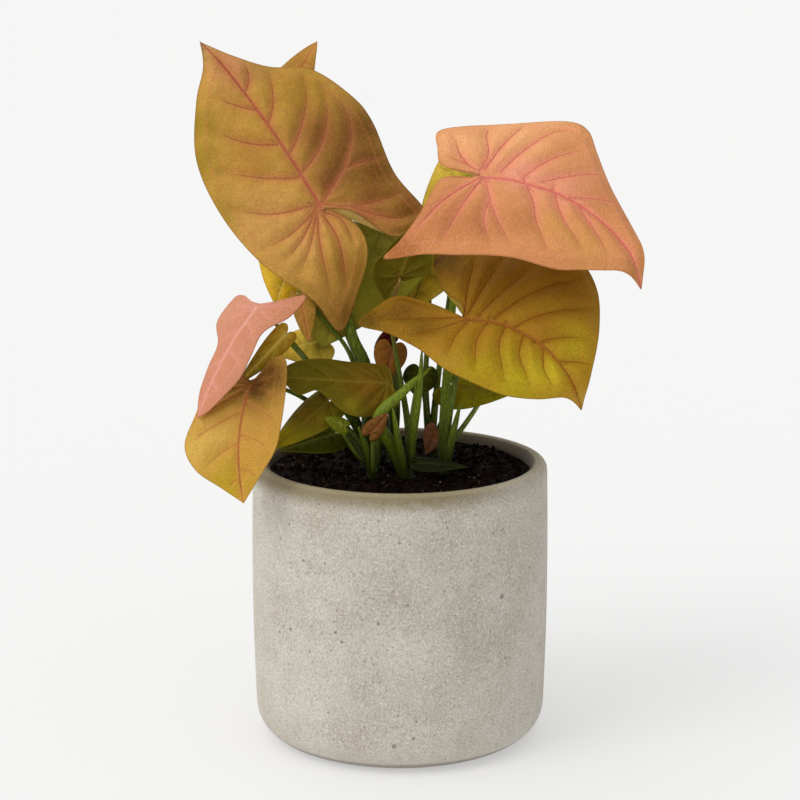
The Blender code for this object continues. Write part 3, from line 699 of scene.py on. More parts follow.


# The largest leaf stands up at the left with its face to the front. It is ochre, with a pink midrib and
# red brown side veins in a pink glow, an olive band along its left margin, and a brown right half,
# painted darker still as painted shade where it turns away from the light.

ochre_finish = leaf_finish(
    "ochre_leaf", rib=(196, 104, 82), vein=(150, 78, 50), glow=(200, 122, 84), fleck=(126, 100, 24),
    edge=(110, 80, 34), under=(170, 160, 96), glowing=0.34, flecked=0.5, drawn=0.42,
)
OLIVE_BAND = (152, 128, 30)
# The two shaded colours are the right half's brown, painted darker for its shade.
SHADED_OCHRE = (100, 62, 20)
SHADED_RUSSET = (122, 70, 32)
PALE_OCHRE = (212, 162, 92)
ROSY_OCHRE = (206, 142, 102)
grow(
    "blade_a", "shoot_left", [(-14, 0, 157), (-20.5, 0, 175), (-26, 6, 205)],
    Leaf((-33, 5, 227), (-81, 20, 293), (0.1, -0.95, 0.28),
         left=[(-2, -2), (-8, -15), (-5, -27), (8, -38), (23, -47), (25, -30), (34, -5), (36, 21), (31, 46),
               (17, 66), (6, 76)],
         right=[(2, -2), (10, -9), (19, -28), (36, -28), (35, -5), (40, 18), (39, 32), (31, 51), (17, 61),
                (7, 73)],
         sides=(3, 8), lobes=4, sway=2, wave=1.2, ribs=9, quilt=1.5, tail=(-2.5, -1, 1.5)),
    ochre_finish, base=(198, 153, 70), grid=(190, 52), girth=1.4,
    paint=[(PALE_OCHRE, -22, 8, 16, 0.8), (PALE_OCHRE, -14, -10, 10, 0.6),
           ((180, 128, 54), -12, 34, 10, 0.6), (OLIVE_BAND, -22, 58, 8, 0.85),
           (OLIVE_BAND, -31, 44, 9, 0.8), (OLIVE_BAND, -36, 22, 8, 0.6), ((170, 132, 46), 20, 44, 14, 0.8),
           # The dark patches on the right half are its brown painted darker as painted shade, where it turns
           # away from the light.
           (SHADED_OCHRE, 34, 18, 13, 0.9), (SHADED_OCHRE, 17, 9, 13, 0.8), (SHADED_RUSSET, 17, 26, 12, 0.75),
           ((118, 60, 34), 8, 7, 6, 0.7), (SHADED_OCHRE, 29, 0, 10, 0.9), (SHADED_RUSSET, 32, -20, 10, 0.8),
           (SHADED_RUSSET, 20, -8, 8, 0.6), ((140, 100, 30), -6, -28, 10, 0.8),
           ((122, 84, 22), -18, -42, 12, 0.85), ((164, 96, 58), 14, -13, 6, 0.8),
           ((168, 104, 62), 19, -22, 5, 0.6), (ROSY_OCHRE, 4, 70, 10, 0.8),
           ((150, 120, 50), 12, 62, 6, 0.5), ((196, 186, 126), 0, 84, 5, 0.95)],
    veins=[[(0, 16), (13, 20), (24, 29), (30, 40)], [(1, 25), (11, 31), (21, 40), (27, 50)],
           [(2, 41), (8, 46), (12, 52), (15, 58)], [(3, 58), (7, 62), (9, 68)],
           [(1, 1), (17, 8), (29, 18), (33, 29), (30, 42)], [(17, 8), (26, 6), (36, 2)],
           [(1, 1), (11, -7), (24, -12), (34, -14)], [(9, -5), (17, -15), (25, -22), (31, -24)],
           [(0, 32), (-8, 38), (-14, 45), (-18, 52)], [(0, 15), (-13, 24), (-26, 36)],
           [(2, 48), (-5, 56), (-9, 62)], [(-1, 2), (-18, 9), (-31, 20)], [(-1, 1), (-15, -2), (-30, -1)],
           [(-1, 1), (-13, -6), (-25, -10)], [(-1, 1), (-11, -9), (-22, -17)],
           [(-1, 1), (-9, -12), (-17, -31)], [(-1, -1), (-2, -16), (-10, -33)],
           [(-1, -1), (4, -9), (3, -20)]],
)


# The salmon leaf at the right spreads like a hood, with its tip turned down. Its veins are rose and it
# yellows towards the near margin. Its lobes leave a narrow notch open.

salmon_finish = leaf_finish(
    "salmon_leaf", rib=(232, 128, 118), vein=(206, 98, 88), glow=(232, 146, 124), fleck=(184, 122, 64),
    edge=(176, 112, 64), under=(176, 150, 84), glowing=0.36, flecked=0.42, drawn=0.5,
)
PEACH = (236, 180, 126)
ROSE = (240, 162, 140)
DUSKY = (184, 118, 72)
YELLOW_TAN = (208, 154, 82)
grow(
    "blade_b", "shoot_right", [(19, -4, 146), (22, 5, 182), (25, 14, 206), (29, -2, 233)],
    Leaf((34, -15, 242), (98, -42, 206), (0.22, -0.65, 0.72),
         left=[(-1, -6), (-3.5, -15), (-2, -20), (5, -25), (15, -31), (25, -24), (39, -5), (50, 11),
               (50, 20), (41, 30), (30, 43), (15, 65), (9, 73)],
         right=[(3, -4.5), (8, -11.5), (12, -13.5), (21, -12), (33, -10), (47, -9.5), (55, -10), (47, 2),
                (41, 15), (31, 33), (24, 49), (16, 58), (4, 71)],
         sides=(1, 8), arch=4, sway=-11, wave=1.2, ribs=9, quilt=1.2, tail=(-1.5, -1, -5.5)),
    salmon_finish, base=(212, 146, 94), grid=(190, 52), girth=0.9, tone=0.5,
    paint=[(PEACH, -12, -20, 12, 0.8), (PEACH, -30, -2, 17, 0.85), (PEACH, -46, 8, 8, 0.6),
           ((208, 146, 94), -38, 22, 12, 0.7), ((202, 140, 100), -28, 36, 12, 0.7),
           (ROSE, -10, 12, 10, 0.75), (ROSE, -12, 30, 10, 0.5), (DUSKY, 30, 0, 13, 0.8),
           ((158, 94, 44), 49, -8, 9, 0.9), (DUSKY, 24, 13, 11, 0.8), (DUSKY, 14, 26, 8, 0.6),
           (YELLOW_TAN, 7, 40, 8, 0.8), (YELLOW_TAN, 7, 54, 8, 0.8), ((196, 132, 84), -17, 48, 11, 0.7),
           ((204, 141, 88), 25, 42, 8, 0.7), ((156, 112, 46), -1, 76, 6, 0.9),
           ((196, 158, 96), 0, 80, 2.5, 0.8)],
    veins=[[(-2, -3), (-14, -6), (-24, -13), (-32, -15)], [(-3, -5), (-4, -11), (-3, -18)],
           [(-3, -7), (-8, -16), (-15, -23)], [(-5, -2), (-23, -4), (-42, -3)],
           [(-7, 4), (-26, 5), (-42, 10), (-46, 20)], [(-10, 13), (-27, 17), (-41, 26)],
           [(-12, 21), (-25, 30), (-34, 40)], [(-12, 34), (-20, 45), (-24, 52)],
           [(-9, 14), (-1, 23), (9, 31), (18, 42)], [(-12, 26), (0, 38), (8, 52)],
           [(-10, 40), (-3, 52), (2, 60)], [(0, 1), (9, 9), (17, 17), (26, 30)],
           [(1, 0), (13, 1), (26, 3), (40, 6)], [(1, -1), (18, -6), (32, -7), (47, -8)],
           [(9, 9), (20, 13), (30, 22)]],
)


# The third large leaf hangs under the salmon one, bronze where it is shaded and lime in the light, with
# red brown veins and a short drooping tip.

bronze_finish = leaf_finish(
    "bronze_leaf", rib=(176, 108, 48), vein=(118, 62, 20), glow=(166, 108, 34), fleck=(142, 128, 22),
    edge=(128, 100, 28), under=(150, 150, 70), glowing=0.24, flecked=0.45, drawn=0.45,
)
DEEP_BRONZE = (66, 40, 6)
BRONZE = (126, 84, 18)
LIME = (178, 164, 28)
grow(
    "blade_c", "shoot_right", [(20, -16, 140), (24, -20, 165)],
    Leaf((27, -30, 186), (73, -55, 156), (-0.05, -0.7, 0.71),
         left=[(5, -6), (7, -15), (12, -25), (23, -34), (38, -24), (49, -4), (52, 16), (45, 32), (30, 45),
               (12, 55)],
         right=[(0, -8), (1, -22), (4, -33), (12, -37), (23, -38), (21, -24), (22, -7), (25, 8), (24, 21),
                (20, 35), (12, 46), (3, 54)],
         sides=(4, 6), arch=6, sway=-8, wave=0.8, ribs=9, quilt=1.5, tail=(-0.5, 0, -2.5)),
    bronze_finish, base=(166, 122, 32), grid=(180, 48), girth=0.9,
    # The dark bronze and brown patches on the lobes and along the upper margin are painted shadow of the
    # salmon leaf above.
    paint=[(DEEP_BRONZE, -21, -28, 14, 0.9), (BRONZE, -28, -8, 14, 0.85), ((128, 88, 22), -38, 18, 12, 0.7),
           ((140, 102, 28), -32, 34, 9, 0.6), ((170, 152, 28), -17, 43, 9, 0.75), (LIME, 5, 26, 8, 0.45),
           (LIME, 14, 36, 9, 0.8), ((198, 182, 40), 1, 42, 8, 0.85), ((106, 68, 14), 10, -26, 10, 0.9),
           ((114, 78, 16), 13, -13, 9, 0.8), ((84, 60, 10), 20, -35, 7, 0.9),
           ((168, 132, 40), 20, 9, 8, 0.8), ((166, 152, 18), 18, 20, 7, 0.7),
           ((150, 96, 34), -12, 30, 6, 0.5), ((180, 152, 78), -2, 60, 4, 0.8)],
    veins=[[(-1, -2), (-17, -12), (-29, -18)], [(-2, -1), (-17, -5), (-37, -9)],
           [(-4, 3), (-19, 3), (-38, 5)], [(-6, 9), (-25, 13), (-43, 23)], [(-7, 18), (-22, 25), (-35, 36)],
           [(-7, 30), (-17, 37), (-24, 45)], [(-7, 24), (2, 29), (9, 40)], [(-7, 15), (4, 20), (15, 32)],
           [(-5, 8), (7, 11), (19, 20)], [(-7, 34), (0, 40), (4, 48)], [(0, 1), (9, 2), (20, 6)],
           [(0, 0), (11, -8), (19, -16)], [(0, -2), (8, -16), (16, -30)], [(-7, 42), (-13, 49), (-16, 54)]],
)


# The pink leaf at the left lies folded over the tan one, on a thin stalk, and a young yellow green leaf
# curls behind it.

pink_finish = leaf_finish(
    "pink_leaf", rib=(238, 176, 160), vein=(236, 176, 156), glow=(224, 152, 136), fleck=(190, 126, 84),
    edge=(176, 116, 84), under=(190, 150, 90), glowing=0.22, flecked=0.4, drawn=0.3,
)
lime_finish = leaf_finish(
    "lime_leaf", rib=(220, 198, 96), vein=(216, 190, 84), glow=(206, 178, 60), fleck=(156, 132, 26),
    edge=(150, 128, 36), under=(186, 162, 48), glowing=0.25, flecked=0.4, drawn=0.35,
)
grow(
    "blade_d", "shoot_left", [(-20, -10, 140), (-36, -12, 162), (-50, -8, 178)],
    Leaf((-59, -20, 189), (-82, -45, 148), (-0.45, -0.45, 0.77),
         left=[(3, -3), (10, -6), (18, -11), (18, 1), (12, 11), (13, 23), (13, 34), (6, 48)],
         right=[(6, -3), (14, -6), (21, -5), (20, 8), (8, 20), (6, 31), (4, 43)], sides=(4, 4), arch=3,
         ribs=7, quilt=0.6),
    pink_finish, base=(198, 136, 106), grid=(110, 32), blush=0.3,
    paint=[((208, 147, 116), 11, 3, 9, 0.7), ((200, 136, 106), 0, 22, 12, 0.6),
           ((190, 128, 92), -16, -4, 9, 0.7), ((198, 132, 98), 0, 48, 10, 0.5)],
)
grow(
    "blade_d2", "shoot_left", [(-20, -8, 138), (-36, -8, 160)],
    Leaf((-47, -14, 177), (-67, -28, 158), (0.5, -0.7, 0.4), width=5, back=3, sides=(1, 1), arch=1),
    lime_finish, base=(150, 116, 20), grid=(60, 18), tone=0.5,
    paint=[((100, 86, 10), 0, 22, 8, 0.8), ((180, 124, 40), 0, 2, 6, 0.6)],
)


# The tan leaf hangs over the pot's left rim, brown at the top where it is shaded, and turning yellow
# green towards its tip.

tan_finish = leaf_finish(
    "tan_leaf", rib=(190, 114, 66), vein=(176, 110, 54), glow=(206, 146, 78), fleck=(164, 130, 36),
    edge=(156, 114, 50), under=(176, 160, 90), glowing=0.26, flecked=0.5, drawn=0.35,
)
grow(
    "blade_e", "shoot_left_front", [(-22, -13, 134), (-39, -11, 148), (-53, -24, 157)],
    Leaf((-61, -37, 160), (-63, -55, 115), (-0.1, -0.9, 0.35),
         left=[(3, -4), (9, -12), (14, -11), (15, 0), (14, 16), (12, 27), (6, 38)],
         right=[(3, -4), (12, -9), (17, -2), (21, 12), (25, 26), (20, 36), (9, 43)], sides=(-1, -1), arch=2,
         sway=3, ribs=7, quilt=0.9),
    tan_finish, base=(204, 156, 70), grid=(120, 36),
    paint=[((184, 136, 62), -7, 14, 8, 0.6), ((208, 170, 88), 12, 22, 9, 0.8),
           ((212, 176, 86), 20, 28, 9, 0.8), ((182, 136, 40), 3, 29, 6, 0.5),
           # The two dark brown patches by the seat are painted shadow of the pink leaf above.
           ((184, 158, 24), 6, 41, 9, 0.85), ((60, 26, 8), -2, 0, 10, 1.0), ((84, 44, 12), -9, -5, 8, 0.9)],
)


# Three tall leaves stand behind the large ones: only the tip of the tan one shows above, the yellow
# green one fills the gap in the middle, and the golden one hangs down at the left.

grow(
    "blade_f", "shoot_back", [(-14, 20, 150), (-38, 33, 210), (-48, 33, 230)],
    Leaf((-59, 36, 256), (-35, 30, 294), (-0.5, -0.75, 0.25), width=15, back=12, sides=(4, 4), ribs=6),
    tan_finish, base=(168, 124, 54), grid=(80, 24),
)
grow(
    "blade_g", "shoot_back_right", [(16, 14, 150), (22, 36, 190)],
    Leaf((24, 38, 211), (22, 42, 251), (0.1, -0.95, 0.1), width=15, back=12, sides=(3, 3), ribs=6),
    lime_finish, base=(242, 214, 90), grid=(80, 24),
    paint=[((150, 164, 8), 8, 25, 5, 0.95)],
)
grow(
    "blade_h", "shoot_back", [(-12, 14, 145), (-32, 26, 190)],
    Leaf((-43, 26, 213), (-53, 14, 184), (-0.2, -0.85, 0.4), width=18, back=11, sides=(3, 3), ribs=6),
    lime_finish, base=(208, 164, 16), grid=(80, 24),
    paint=[((238, 198, 64), 8, 22, 9, 0.8)],
)


# Broad green leaves fill the middle, behind and below the large ones. The one under the salmon leaf
# shows its back, painted dark as painted shade under the salmon leaf.

green_finish = leaf_finish(
    "green_leaf", rib=(150, 152, 60), vein=(138, 142, 48), glow=(122, 126, 34), fleck=(78, 90, 10),
    edge=(136, 134, 44), under=(104, 110, 28), glowing=0.2, flecked=0.35, drawn=0.25,
)
olive_finish = leaf_finish(
    "olive_leaf", rib=(140, 116, 36), vein=(134, 110, 32), glow=(124, 104, 22), fleck=(82, 80, 6),
    edge=(142, 128, 34), under=(92, 86, 10), glowing=0.2, flecked=0.4, drawn=0.3,
)
grow(
    "blade_i", "shoot_back", [(-3, 12, 150), (-4, 22, 190)],
    Leaf((-8, 22, 214), (-33, 2, 168), (0.1, -0.85, 0.45),
         left=[(6, -9), (14, -13), (22, -8), (25, 4), (22, 20), (14, 36), (5, 50)],
         right=[(4, -1), (9, 0.5), (16, 2), (23, 8), (26, 18), (24, 30), (19, 41), (12, 50)], sides=(3, 3),
         arch=2, ribs=7, quilt=0.7),
    green_finish, base=(156, 150, 46), grid=(100, 30),
    paint=[((184, 178, 84), -2, -2, 10, 0.8), ((134, 122, 28), -9, 28, 12, 0.6),
           ((128, 88, 24), -18, 32, 8, 0.7), ((192, 164, 58), 1, 44, 8, 0.8),
           ((76, 66, 2), -10, 47, 7, 0.8)],
)
grow(
    "blade_j", "shoot_front", [(3, -13, 140), (-2, -5, 168), (-4, 3, 184)],
    Leaf((0, 4, 198), (10, -4, 224), (0.1, 0.8, 0.5),
         left=[(3, -1), (7, 2.5), (11, 5.5), (10, 11), (7, 18), (3, 25)],
         right=[(2, -12), (5.5, -9.5), (10, -5), (12.5, 2), (10.5, 8), (8, 15), (4, 22)], ribs=6),
    # Its dark base is the olive leaf's colour painted darker as painted shade under the salmon leaf.
    olive_finish, base=(98, 80, 8), grid=(80, 24), blush=1.0,
)
grow(
    "blade_k", "shoot_back_right", [(11, 14, 150), (13, 34, 185)],
    Leaf((12, 28, 203), (5, 26, 180), (0.0, -0.9, 0.3), width=15, back=10, sides=(3, 3), ribs=6),
    olive_finish, base=(206, 172, 50), grid=(80, 24),
)


# At the left, between the large leaves and the rim, smaller leaves overlap: a narrow tan one, a yellow
# tan one, the level olive one across the middle, and two that reach the rim.

grow(
    "blade_h2", "shoot_left", [(-15, 0, 140), (-21, 1, 165), (-33, 1, 181)],
    Leaf((-42, 1, 189), (-38, -3, 171), (-0.5, -0.8, 0.2), width=6, back=4),
    tan_finish, base=(158, 118, 42), grid=(50, 16),
)
grow(
    "blade_l", "shoot_left", [(-19, 0, 140), (-27, 6, 158)],
    Leaf((-34, 6, 170), (-56, -1, 167), (0.2, -0.65, 0.75), width=10, back=5, sides=(3, 3)),
    lime_finish, base=(240, 212, 82), grid=(60, 18),
    paint=[((84, 68, 10), -3, 1, 6, 0.9), ((158, 118, 46), -8, 15, 4, 0.5)],
)
grow(
    "blade_m", "shoot_left", [(-12, -8, 132), (-8, -11, 148)],
    Leaf((-5, -15, 156), (-50, -30, 162), (0.1, -0.75, 0.65),
         left=[(3, -2), (9, -4), (13, 4), (15, 14), (13, 22), (5, 31), (7, 40)],
         right=[(3, -2), (8, 0), (10, 10), (10, 24), (9, 36), (6, 43)], sides=(3, 2), wave=1.0, ribs=7,
         quilt=0.7),
    olive_finish, base=(98, 82, 12), grid=(100, 30),
    paint=[((124, 80, 20), -2, 9, 9, 0.8), ((82, 76, 4), 2, 34, 12, 0.8),
           ((134, 120, 26), -12, 16, 5, 0.75)],
)
grow(
    "blade_n", "shoot_left_front", [(-18, -21, 134)],
    Leaf((-30, -20, 149), (-53, -34, 132), (-0.2, -0.7, 0.65), width=9, back=6),
    olive_finish, base=(104, 94, 12), grid=(60, 18),
    paint=[((112, 80, 12), 1, 10, 6, 0.7), ((168, 152, 10), 0, 24, 7, 0.8)],
)
grow(
    "blade_o", "shoot_left", [(-20, -5, 126)],
    Leaf((-28, -9, 133), (-50, -26, 130), (0.0, -0.6, 0.8), width=8, back=5),
    green_finish, base=(68, 72, 4), grid=(60, 18),
)


# Small leaves grow low down between the stalks: young ones that are pinkish brown and dark red, and
# olive and green ones, the lowest of them close to the soil.

young_finish = leaf_finish(
    "young_leaf", rib=(146, 88, 50), vein=(140, 84, 48), glow=(146, 94, 44), fleck=(108, 66, 22),
    edge=(110, 66, 32), under=(140, 104, 60), glowing=0.12, flecked=0.4, drawn=0.3,
)
# The shaded green finish is a darker copy of the green one: painted shade for the lowest leaf, deep among the
# stalks.
shaded_green = leaf_finish(
    "shaded_green_leaf", rib=(62, 70, 24), vein=(46, 54, 16), glow=(38, 46, 12), fleck=(16, 22, 4),
    edge=(56, 64, 22), under=(44, 50, 14), glowing=0.15, flecked=0.4, drawn=0.3,
)
dark_red_finish = leaf_finish(
    "dark_red_leaf", rib=(90, 30, 24), vein=(84, 26, 20), glow=(76, 24, 16), fleck=(54, 18, 10),
    edge=(80, 34, 20), under=(80, 34, 20), glowing=0.1, flecked=0.3, drawn=0.3,
)
grow(
    "blade_p", "shoot_back", [(-1, 4, 140), (-1.5, 3, 160)],
    Leaf((-3.5, 0, 168), (-6, -8, 155), (0.1, -0.9, 0.35), width=7, back=3.5),
    young_finish, base=(134, 86, 26), grid=(50, 16), blush=0.4,
)
grow(
    "blade_p2", "shoot_back", [(-4, 8, 140), (-3, 10, 162)],
    Leaf((-4, 7, 172), (-11, 5, 167), (0.1, -0.8, 0.55), width=3.5, back=2.5, sides=(1, 1)),
    dark_red_finish, base=(70, 18, 14), grid=(40, 12), blush=0.6,
)
grow(
    "blade_r1", "shoot_back_right", [(18, 6, 136)],
    Leaf((23, 6, 151), (47, -8, 150), (-0.1, -0.7, 0.7), width=11, back=8),
    olive_finish, base=(140, 132, 6), grid=(60, 18),
)
grow(
    "blade_r2", "shoot_back_right", [(11, 5, 140)],
    Leaf((9, 2, 157), (7, -6, 148), (0.0, -0.8, 0.6), width=7.5, back=4),
    green_finish, base=(50, 56, 2), grid=(50, 16),
)
grow(
    "blade_s", "shoot_left_front", [(-18, -25, 128)],
    Leaf((-23, -29, 141), (-31, -31, 145), (0.0, -0.8, 0.6), width=3.5, back=2.5, sides=(1, 1)),
    green_finish, base=(92, 98, 6), grid=(40, 12), tone=0.4,
)
# The lowest green leaf is painted near black green as painted shade down among the stalks.
grow(
    "blade_t1", "shoot_front", [(6, -22, 122)],
    Leaf((8, -27, 125), (28, -31, 124), (0.0, -0.6, 0.8), width=3.8, back=3.5, sides=(1, 1)),
    shaded_green, base=(22, 28, 5), grid=(50, 16), tone=0.2,
)
grow(
    "blade_t2", "shoot_back_right", [(14.5, 2, 124)],
    Leaf((15, -3, 133), (11, -8, 124), (0.1, -0.9, 0.4), width=4.5, back=3, sides=(1, 1)),
    young_finish, base=(132, 88, 62), grid=(40, 12), blush=0.5,
)
grow(
    "blade_t3", "shoot_left_front", [(-11, -28, 122)],
    Leaf((-12, -33, 139), (-5, -35, 148), (0.2, -0.9, 0.3), width=4, back=3, sides=(1, 1)),
    young_finish, base=(108, 72, 30), grid=(40, 12), tone=0.5,
)


# Three more leaves spread on the far side, as they do on a plant that is turned to the light now and
# then. They are soft and quilted like the others, on thinner stalks.

grow(
    "blade_v1", "shoot_back", [(-12, 28, 150), (-38, 48, 204)],
    Leaf((-52, 58, 236), (-76, 86, 220), (-0.35, 0.3, 0.88), width=18, back=11, sides=(5, 5), arch=4,
         ribs=7, quilt=0.8),
    lime_finish, base=(190, 160, 54), grid=(100, 30), girth=0.6,
    paint=[((204, 146, 90), 0, 10, 14, 0.5)],
)
grow(
    "blade_v2", "shoot_back_right", [(22, 3, 127), (37, 6, 149), (46, 22, 170)],
    Leaf((50, 32, 184), (74, 62, 152), (0.45, 0.5, 0.74), width=25, back=17, sides=(5, 5), arch=4, ribs=7,
         quilt=0.8),
    green_finish, base=(124, 120, 34), grid=(100, 30), tone=1.0, girth=0.55,
    paint=[((164, 128, 50), 0, 8, 16, 0.5)],
)
grow(
    "blade_v3", "shoot_back", [(-3, 24, 150), (-4, 44, 177)],
    Leaf((-5, 56, 193), (-4, 90, 163), (-0.05, 0.62, 0.78), width=22, back=15, sides=(5, 5), arch=4, ribs=7,
         quilt=0.8),
    bronze_finish, base=(162, 136, 44), grid=(100, 30),
    paint=[((190, 126, 78), 0, 10, 14, 0.5)],
)


# The stalks rise from short stems in the soil, between the sheaths of young leaves. Each is round and
# solid, thickest where it leaves the stem, and dark green with fine streaks. One leaf is still rolled up.

RING = 12
CROWN_RADIUS = 4.8
CROWN_FOOT = 100.0
CROWN_STEPS = 12
SHEATH_END_RADIUS = 0.3
ROLLED = [
    ("shoot_front", [(-3, -23, 130), (-9, -29, 144), (1, -28, 155), (13, -24, 165)], 2.4, 0.55),
    ("shoot_front", [(5, -19, 135), (7, -16, 157)], 1.7, 0.35),
    ("shoot_back_right", [(14, 3, 130), (15, 1, 143)], 1.5, 0.3),
    ("shoot_left_front", [(-9, -19, 132), (-5, -17, 150)], 1.6, 0.35),
    ("shoot_left_front", [(-13, -26, 128), (-17, -31, 141)], 1.5, 0.35),
    ("shoot_front", [(0, -26, 130), (-3, -31, 149)], 1.5, 0.45),
    ("shoot_front", [(5, -21.5, 132), (8, -26, 156), (9, -25, 172)], 1.5, 0.4),
    ("shoot_right", [(21, -17, 130), (25, -19, 148)], 1.5, 0.4),
    ("shoot_left", [(-14, -9, 132), (-13, -13, 146)], 1.4, 0.3),
    ("shoot_back", [(-3, 2, 136), (-6, -1, 150)], 1.5, 0.25),
]


def joined(name, pieces):
    """Several pieces made one."""
    bpy.ops.object.select_all(action="DESELECT")
    for piece in pieces:
        piece.select_set(True)
    bpy.context.view_layer.objects.active = pieces[0]
    bpy.ops.object.join()
    pieces[0].name = name
    pieces[0].data.name = name
    return pieces[0]


def rod(route, radii, tone, blush):
    """A round stalk along a route, with its tone and the share of its length kept on its points."""
    bpy.ops.object.select_all(action="DESELECT")
    bpy.ops.mesh.primitive_cylinder_add(vertices=RING, radius=1, depth=2, end_fill_type="TRIFAN")
    made = bpy.context.object
    edit(made)
    cut_across(np.linspace(-1, 1, len(route))[1:-1])
    bpy.ops.object.mode_set(mode="OBJECT")
    ahead = np.gradient(route, axis=0)
    ahead /= np.linalg.norm(ahead, axis=1)[:, None]
    side = np.cross(ahead, (0.3, 1.0, 0.0))
    side /= np.linalg.norm(side, axis=1)[:, None]
    up = np.cross(ahead, side)
    place = np.array([v.co for v in made.data.vertices])
    at = np.clip(np.rint((place[:, 2] + 1) / 2 * (len(route) - 1)).astype(int), 0, len(route) - 1)
    flat = place[:, :2] * radii[at][:, None]
    solid = route[at] + flat[:, :1] * side[at] + flat[:, 1:] * up[at]
    made.data.vertices.foreach_set("co", (solid * MM).astype(np.float32).ravel())
    store(made.data, "tone", np.full(len(place), tone))
    store(made.data, "blush", blush * smooth(at / len(route), 0.5, 1.0))
    store(made.data, "grown", at / len(route))
    edit(made)
    bpy.ops.mesh.normals_make_consistent(inside=False)
    bpy.ops.object.mode_set(mode="OBJECT")
    bpy.ops.object.shade_smooth()
    return made


def stalk_skin():
    finish = Finish("stalk_skin")
    place = finish.own_place()
    stretched = finish.node("Mapping", Vector=place)
    stretched.inputs["Scale"].default_value = (1, 1, 0.06)
    streaks = finish.noise(stretched.outputs[0], 2600, 2, 0.6)
    patches = finish.noise(place, 90, 2)
    tone = finish.own_value("tone")
    height = finish.node("SeparateXYZ", Vector=place).outputs["Z"]
    colour = finish.layered(finish.mix(finish.ramp(tone, 0.0, 0.6), srgb(42, 56, 8), srgb(110, 126, 18)), [
        (finish.ramp(tone, 0.5, 1.0), (172, 184, 84)),
        (finish.own_value("blush"), (140, 96, 46)),
        (finish.ramp(streaks, 0.42, 0.62, 0.0, 0.6), (34, 48, 4)),
        (finish.ramp(streaks, 0.44, 0.3, 0.0, 0.4), (146, 166, 36)),
        (finish.ramp(patches, 0.5, 0.7, 0.0, 0.22), (116, 124, 30)),
        # Darker towards each stalk's foot and low down near the soil: painted shade among the crowded stems.
        (finish.ramp(finish.own_value("grown"), 0.0, 0.22, 0.5, 0.0), (18, 24, 4)),
        (finish.ramp(height, 0.118, 0.150, 0.85, 0.0), (14, 20, 4)),
    ])
    finish.shader.inputs["Specular IOR Level"].default_value = 0.18
    return finish.surface(colour, finish.ramp(streaks, 0.3, 0.7, 0.4, 0.55), streaks, 0.08)


skin = stalk_skin()
for shoot_name, points, radius, tone in ROLLED:
    route = spline_points([(*CROWNS[shoot_name], STALK_ROOT), *points], 40)
    swell = np.sin(math.pi * np.linspace(0, 1, len(route)) ** 0.8) ** 0.7
    stalks[shoot_name].append((route, SHEATH_END_RADIUS + radius * swell, tone, 0.0))
crown_share = np.linspace(0, 1, CROWN_STEPS)
for name, (x, y) in CROWNS.items():
    rods = [rod(*one) for one in stalks[name]]
    crown_route = np.array([(x, y, z) for z in np.linspace(CROWN_FOOT, CROWN_TOP, CROWN_STEPS)])
    rods.append(rod(crown_route, CROWN_RADIUS * (1 - 0.75 * crown_share**4), 0.1, 0.0))
    shoot = joined("stalks_" + name, rods)
    shoot.data.materials.append(skin)
    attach(shoot, "root")
    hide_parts(name)


# The plant stands on a wide pale floor that ends far off in a low pale wall, and is seen a little from
# above. The light is soft and even, and a little stronger from the left.

FLOOR_SIZE = 400.0
WALL_RADIUS = 14.0
WALL_HEIGHT = 1.4
PAPER_GLOW = 0.41
SKY_LEFT, SKY_RIGHT = 1.34, 0.6
SUN_STRENGTH = 0.86
SUN_SPREAD = 34
SUN_TOWARDS = (1.35, 1.0, -1.7)
VIEW_LENS = 109.0
VIEW_FROM = (0, -1.001, 0.3643)
VIEW_DOWN = 12.32

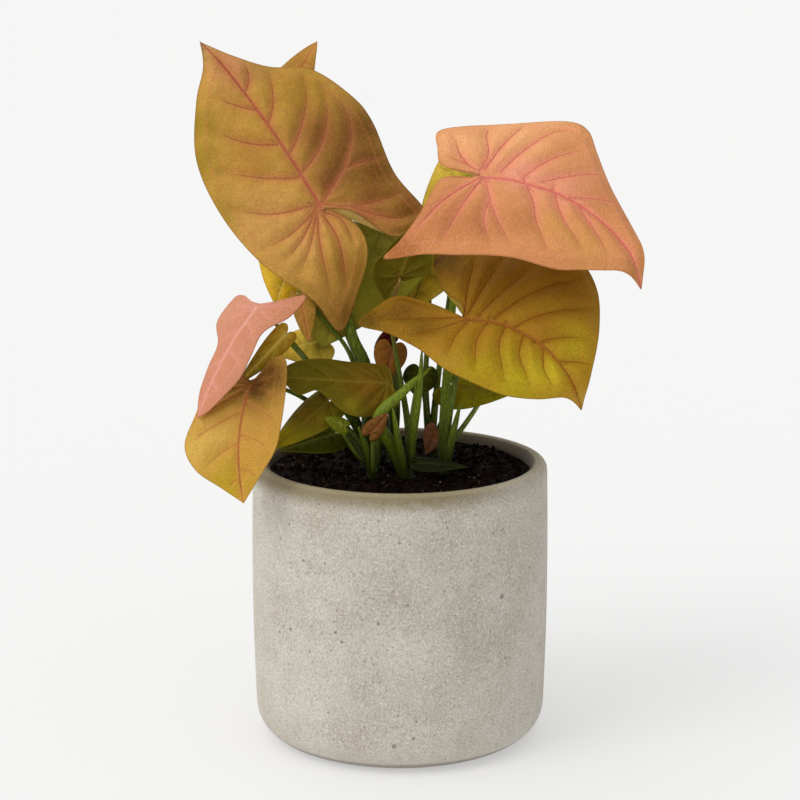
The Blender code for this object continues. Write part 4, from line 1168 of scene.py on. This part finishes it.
bpy.ops.mesh.primitive_plane_add(size=FLOOR_SIZE, location=(0, 20, 0))
floor = bpy.context.object
floor.name = "studio_floor"
paper = Finish("pale_paper")
paper_noise = paper.noise(paper.own_place(), 0.6, 1)
paper.feed(paper.shader, "Base Color", paper.mix(paper_noise, (0.44, 0.44, 0.44), (0.445, 0.445, 0.445)))
paper.shader.inputs["Emission Color"].default_value = (1, 1, 1, 1)
paper.shader.inputs["Emission Strength"].default_value = PAPER_GLOW
paper.shader.inputs["Roughness"].default_value = 0.9
paper.shader.inputs["Specular IOR Level"].default_value = 0.0
floor.data.materials.append(paper.material)

bpy.ops.mesh.primitive_cylinder_add(
    vertices=96, radius=WALL_RADIUS, depth=WALL_HEIGHT, end_fill_type="NOTHING",
    location=(0, 0, WALL_HEIGHT / 2),
)
backdrop = bpy.context.object
backdrop.name = "studio_backdrop"
backdrop.data.flip_normals()
backdrop.data.materials.append(paper.material)

world = bpy.data.worlds.new("soft_studio")
bpy.context.scene.world = world
world.use_nodes = True
sky = world.node_tree.nodes["Background"]
sky.inputs["Color"].default_value = (1.0, 0.997, 0.99, 1)
toward = world.node_tree.nodes.new("ShaderNodeTexCoord").outputs["Generated"]
split = world.node_tree.nodes.new("ShaderNodeSeparateXYZ")
world.node_tree.links.new(toward, split.inputs[0])
from_left = world.node_tree.nodes.new("ShaderNodeMapRange")
world.node_tree.links.new(split.outputs["X"], from_left.inputs["Value"])
for name, number in (("From Min", -1), ("From Max", 1), ("To Min", SKY_LEFT), ("To Max", SKY_RIGHT)):
    from_left.inputs[name].default_value = number
world.node_tree.links.new(from_left.outputs["Result"], sky.inputs["Strength"])

key = bpy.data.lights.new("window_light", "SUN")
key.energy = SUN_STRENGTH
key.angle = math.radians(SUN_SPREAD)
key.color = (1.0, 0.985, 0.96)
key_holder = bpy.data.objects.new("window_light", key)
key_holder.rotation_euler = Vector(SUN_TOWARDS).to_track_quat("-Z", "Y").to_euler()
bpy.context.scene.collection.objects.link(key_holder)

view = bpy.data.cameras.new("photo_camera")
view.lens = VIEW_LENS
view.sensor_width = 36
viewpoint = bpy.data.objects.new("photo_camera", view)
viewpoint.location = VIEW_FROM
viewpoint.rotation_euler = (math.radians(90 - VIEW_DOWN), 0, 0)
bpy.context.scene.collection.objects.link(viewpoint)
bpy.context.scene.camera = viewpoint
bpy.context.scene.view_settings.view_transform = "Standard"
